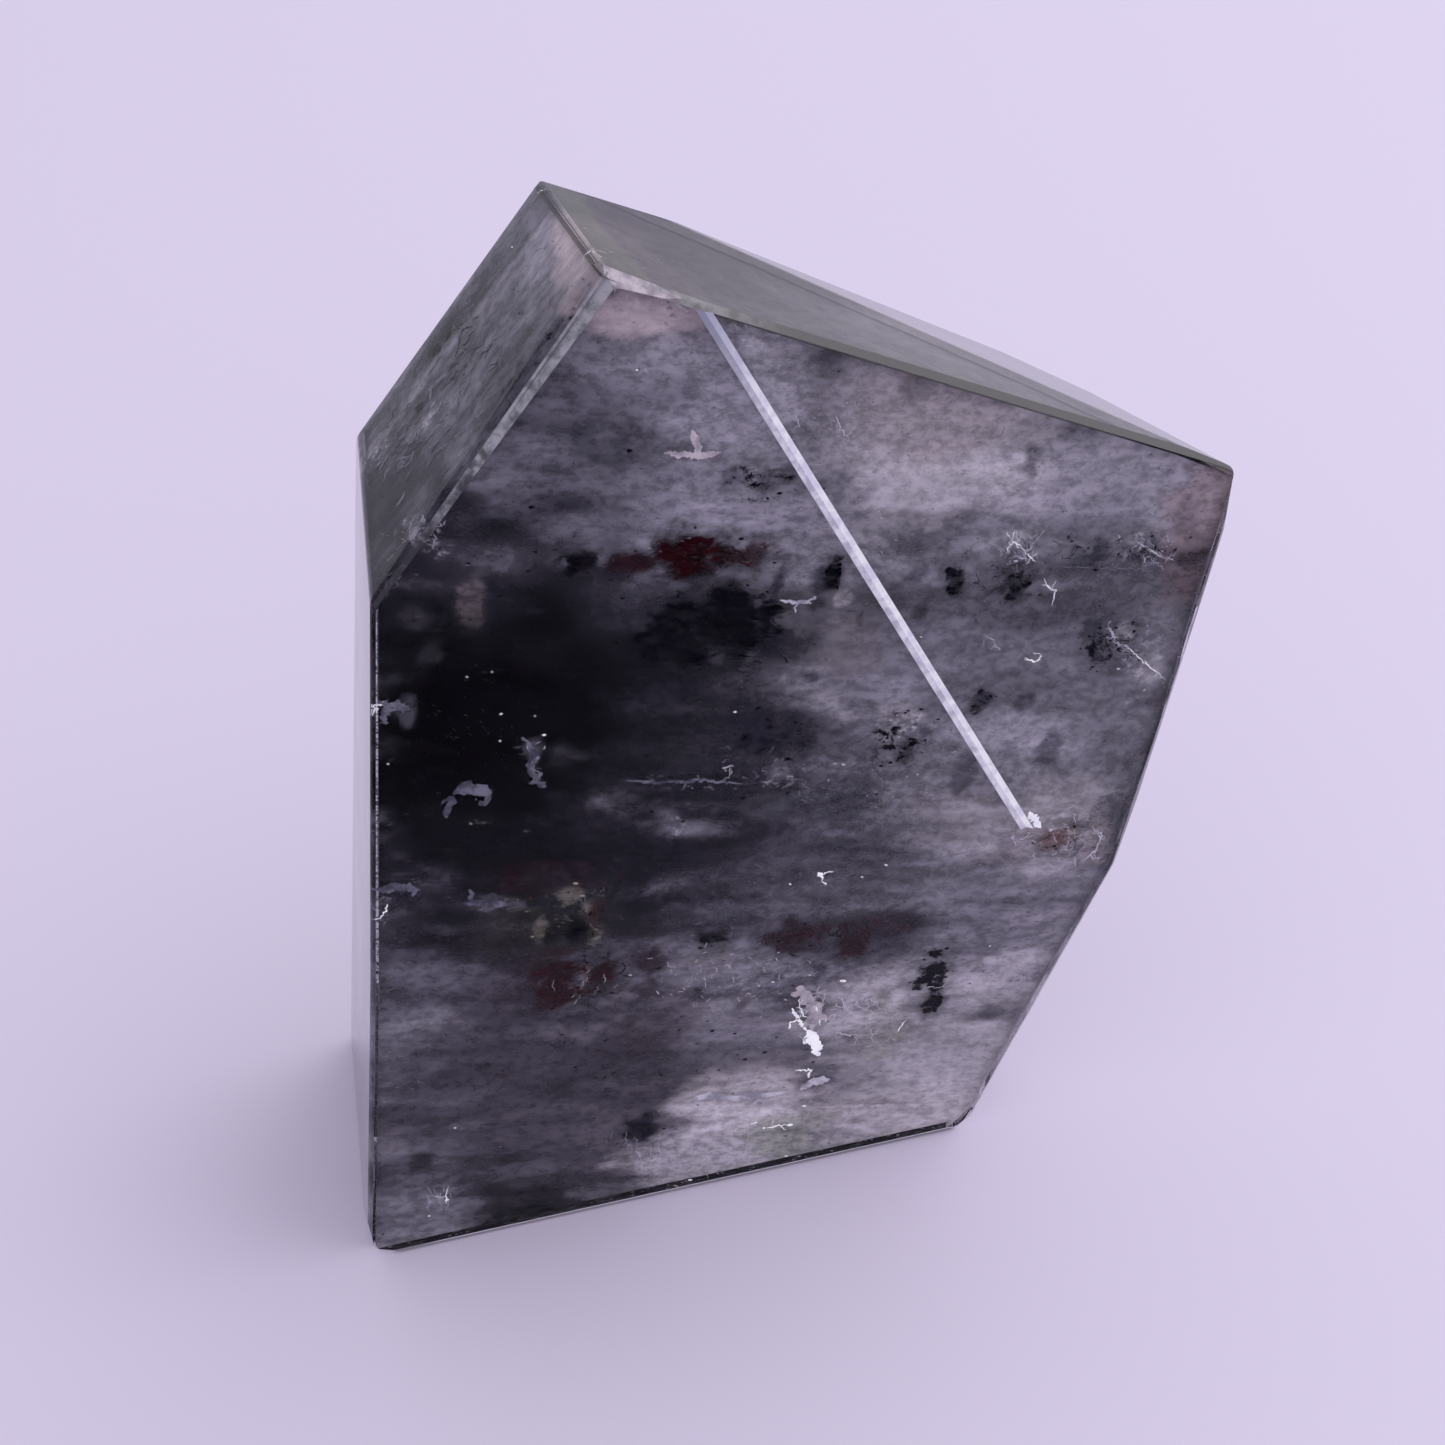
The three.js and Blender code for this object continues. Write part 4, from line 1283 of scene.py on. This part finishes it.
def makeCracks(materials):
    rng = np.random.default_rng(crackLook["seed"])
    joined = {kind: bmesh.new() for kind in kinds}
    for kind, line, width, facet in [*crackLines(rng), *webLines(rng)]:
        facing = looksTo(facet)
        length = sum((b - a).length for a, b in zip(line, line[1:]))
        steps = max(3, int(length / (crackLook["step"] * mm)))
        bm = bmesh.new()
        bmesh.ops.create_grid(bm, x_segments=steps, y_segments=1, size=1.0)
        jitter = rng.normal(size=(steps + 1, 2)) * min(1.0, 0.3 / width + 0.3)
        widths = rng.uniform(0.35, 1.0, size=(steps + 3, 2))
        if width > 0.25:
            widths = 0.35 * widths + 0.65 * (widths + np.roll(widths, 1, 0) + np.roll(widths, 2, 0)) / 3
        widths *= width * mm / 2
        for vertex in bm.verts:
            along = (vertex.co.x + 1) / 2
            row = round(along * steps)
            reach = along * (len(line) - 1)
            part = min(int(reach), len(line) - 2)
            place = line[part].lerp(line[part + 1], reach - part)
            side = (line[part + 1] - line[part]).cross(facing).normalized()
            upper = vertex.co.y > 0
            taper = min(1.0, 4 * along + 0.2, 4 * (1 - along) + 0.2)
            shift = (jitter[row, 0] - jitter[0, 0] * (1 - along)) * crackLook["wander"] * mm * taper
            offset = shift + (1 if upper else -1) * widths[row, int(upper)] * taper
            vertex.co = place + side * offset
        mesh = bpy.data.meshes.new("crack")
        bm.to_mesh(mesh)
        joined[kind].from_mesh(mesh)
        bpy.data.meshes.remove(mesh)
        bm.free()
    for kind, bm in joined.items():
        if not bm.verts:
            bm.free()
            continue
        trimToStone(bm, 0.12)
        finishPiece(kind + "_cracks", bm, [materials[kind]], kinds[kind]["slot"])


growthMaterials = {name: growthMaterial(name) for name in kinds}
makeGrains(growthMaterials)
makeCracks(growthMaterials)
print("grains and cracks grown")


# Fine dust through the whole stone, in the colours of the veils
dust = {
    "pieces": 2,
    "each": 45000,
    "size": (0.04, 0.12),  # mm
    "stretch": 2.2,
    "thin": 0.5,
    "seed": 21,
    "skin": 0.2,
    "grain": dict(scale=(900, 900, 900), detail=1.0, light=(0.8, 1.2)),
}


def makeDust():
    rng = np.random.default_rng(dust["seed"])
    basis = np.array(layerTurn)
    material, tree, shader, output = newMaterial("gardenDust")
    look = dust["grain"]
    grown = addNode(tree, "ShaderNodeAttribute", attribute_name="grown")
    grain = layerNoise(tree, look["scale"], look["detail"], 0.0)
    scaled = addNode(tree, "ShaderNodeVectorMath", operation="SCALE")
    tree.links.new(grown.outputs["Color"], scaled.inputs[0])
    tree.links.new(addRange(tree, grain, 0.3, 0.7, *look["light"]), scaled.inputs["Scale"])
    tree.links.new(scaled.outputs[0], shader.inputs["Base Color"])
    shader.inputs["Roughness"].default_value = 0.9
    shape = splinterShape()
    low, high = np.array(cadBox[0]), np.array(cadBox[1])
    for number in range(dust["pieces"]):
        spots = low + rng.random((dust["each"] * 7, 3)) * (high - low)
        spots = spots[isInside(spots, dust["skin"])]
        grown = gardenTone(spots)
        keep = (rng.random(len(spots)) < grown[:, 3] ** 2) & (gardenMarks(spots)[:, 0] < 0.3)
        spots, grown = spots[keep][: dust["each"]], grown[keep][: dust["each"]]
        count = len(spots)
        small, large = dust["size"]
        sizes = small * (large / small) ** rng.random(count) ** 1.8 * mm
        parts = np.stack([sizes * dust["stretch"], sizes * dust["thin"], sizes], axis=1)
        frames = basis @ randomTurns(rng, count, 0.5) * parts[:, None, :]
        piece = joinCopies(f"dust_{number + 1}", shape, spots, frames, material, "milky_inclusion")
        paintTone(piece.data, "grown", np.repeat(grown[:, :4], len(shape[0]), axis=0))
        print("dust", number + 1, count)


makeDust()


# Floor and studio light
studio = {
    "floorTone": tone(229, 220, 240),
    "floorRough": 0.6,
    "floorHalf": 3.0,  # m
    "skyTone": (0.90, 0.885, 1.0, 1),
    "skyStrength": 0.74,
    "window": dict(place=(0.62, 0.05, 0.62), aim=(0, 0, 0.02), size=1.2, power=3.6, colour=(1.0, 0.98, 1.0)),
}


def makeFloor():
    bm = bmesh.new()
    bmesh.ops.create_grid(bm, x_segments=1, y_segments=1, size=studio["floorHalf"])
    mesh = bpy.data.meshes.new("floor")
    bm.to_mesh(mesh)
    bm.free()
    floor = bpy.data.objects.new("floor", mesh)
    bpy.context.scene.collection.objects.link(floor)
    material, tree, shader, output = newMaterial("floorPaint")
    shader.inputs["Base Color"].default_value = studio["floorTone"]
    shader.inputs["Roughness"].default_value = studio["floorRough"]
    mesh.materials.append(material)


def makeLamp(name, place, aim, size, power, colour):
    data = bpy.data.lights.new(name, "AREA")
    data.shape = "DISK"
    data.size = size
    data.energy = power
    data.color = colour
    lamp = bpy.data.objects.new(name, data)
    lamp.location = place
    lamp.rotation_euler = (Vector(aim) - Vector(place)).to_track_quat("-Z", "Y").to_euler()
    bpy.context.scene.collection.objects.link(lamp)


def makeWorld():
    world = bpy.data.worlds.new("studio")
    world.use_nodes = True
    sky = world.node_tree.nodes["Background"]
    sky.inputs["Color"].default_value = studio["skyTone"]
    sky.inputs["Strength"].default_value = studio["skyStrength"]
    bpy.context.scene.world = world


bpy.context.scene.view_settings.view_transform = "Standard"
makeFloor()
makeWorld()
makeLamp("window", **studio["window"])
print("floor and light set")
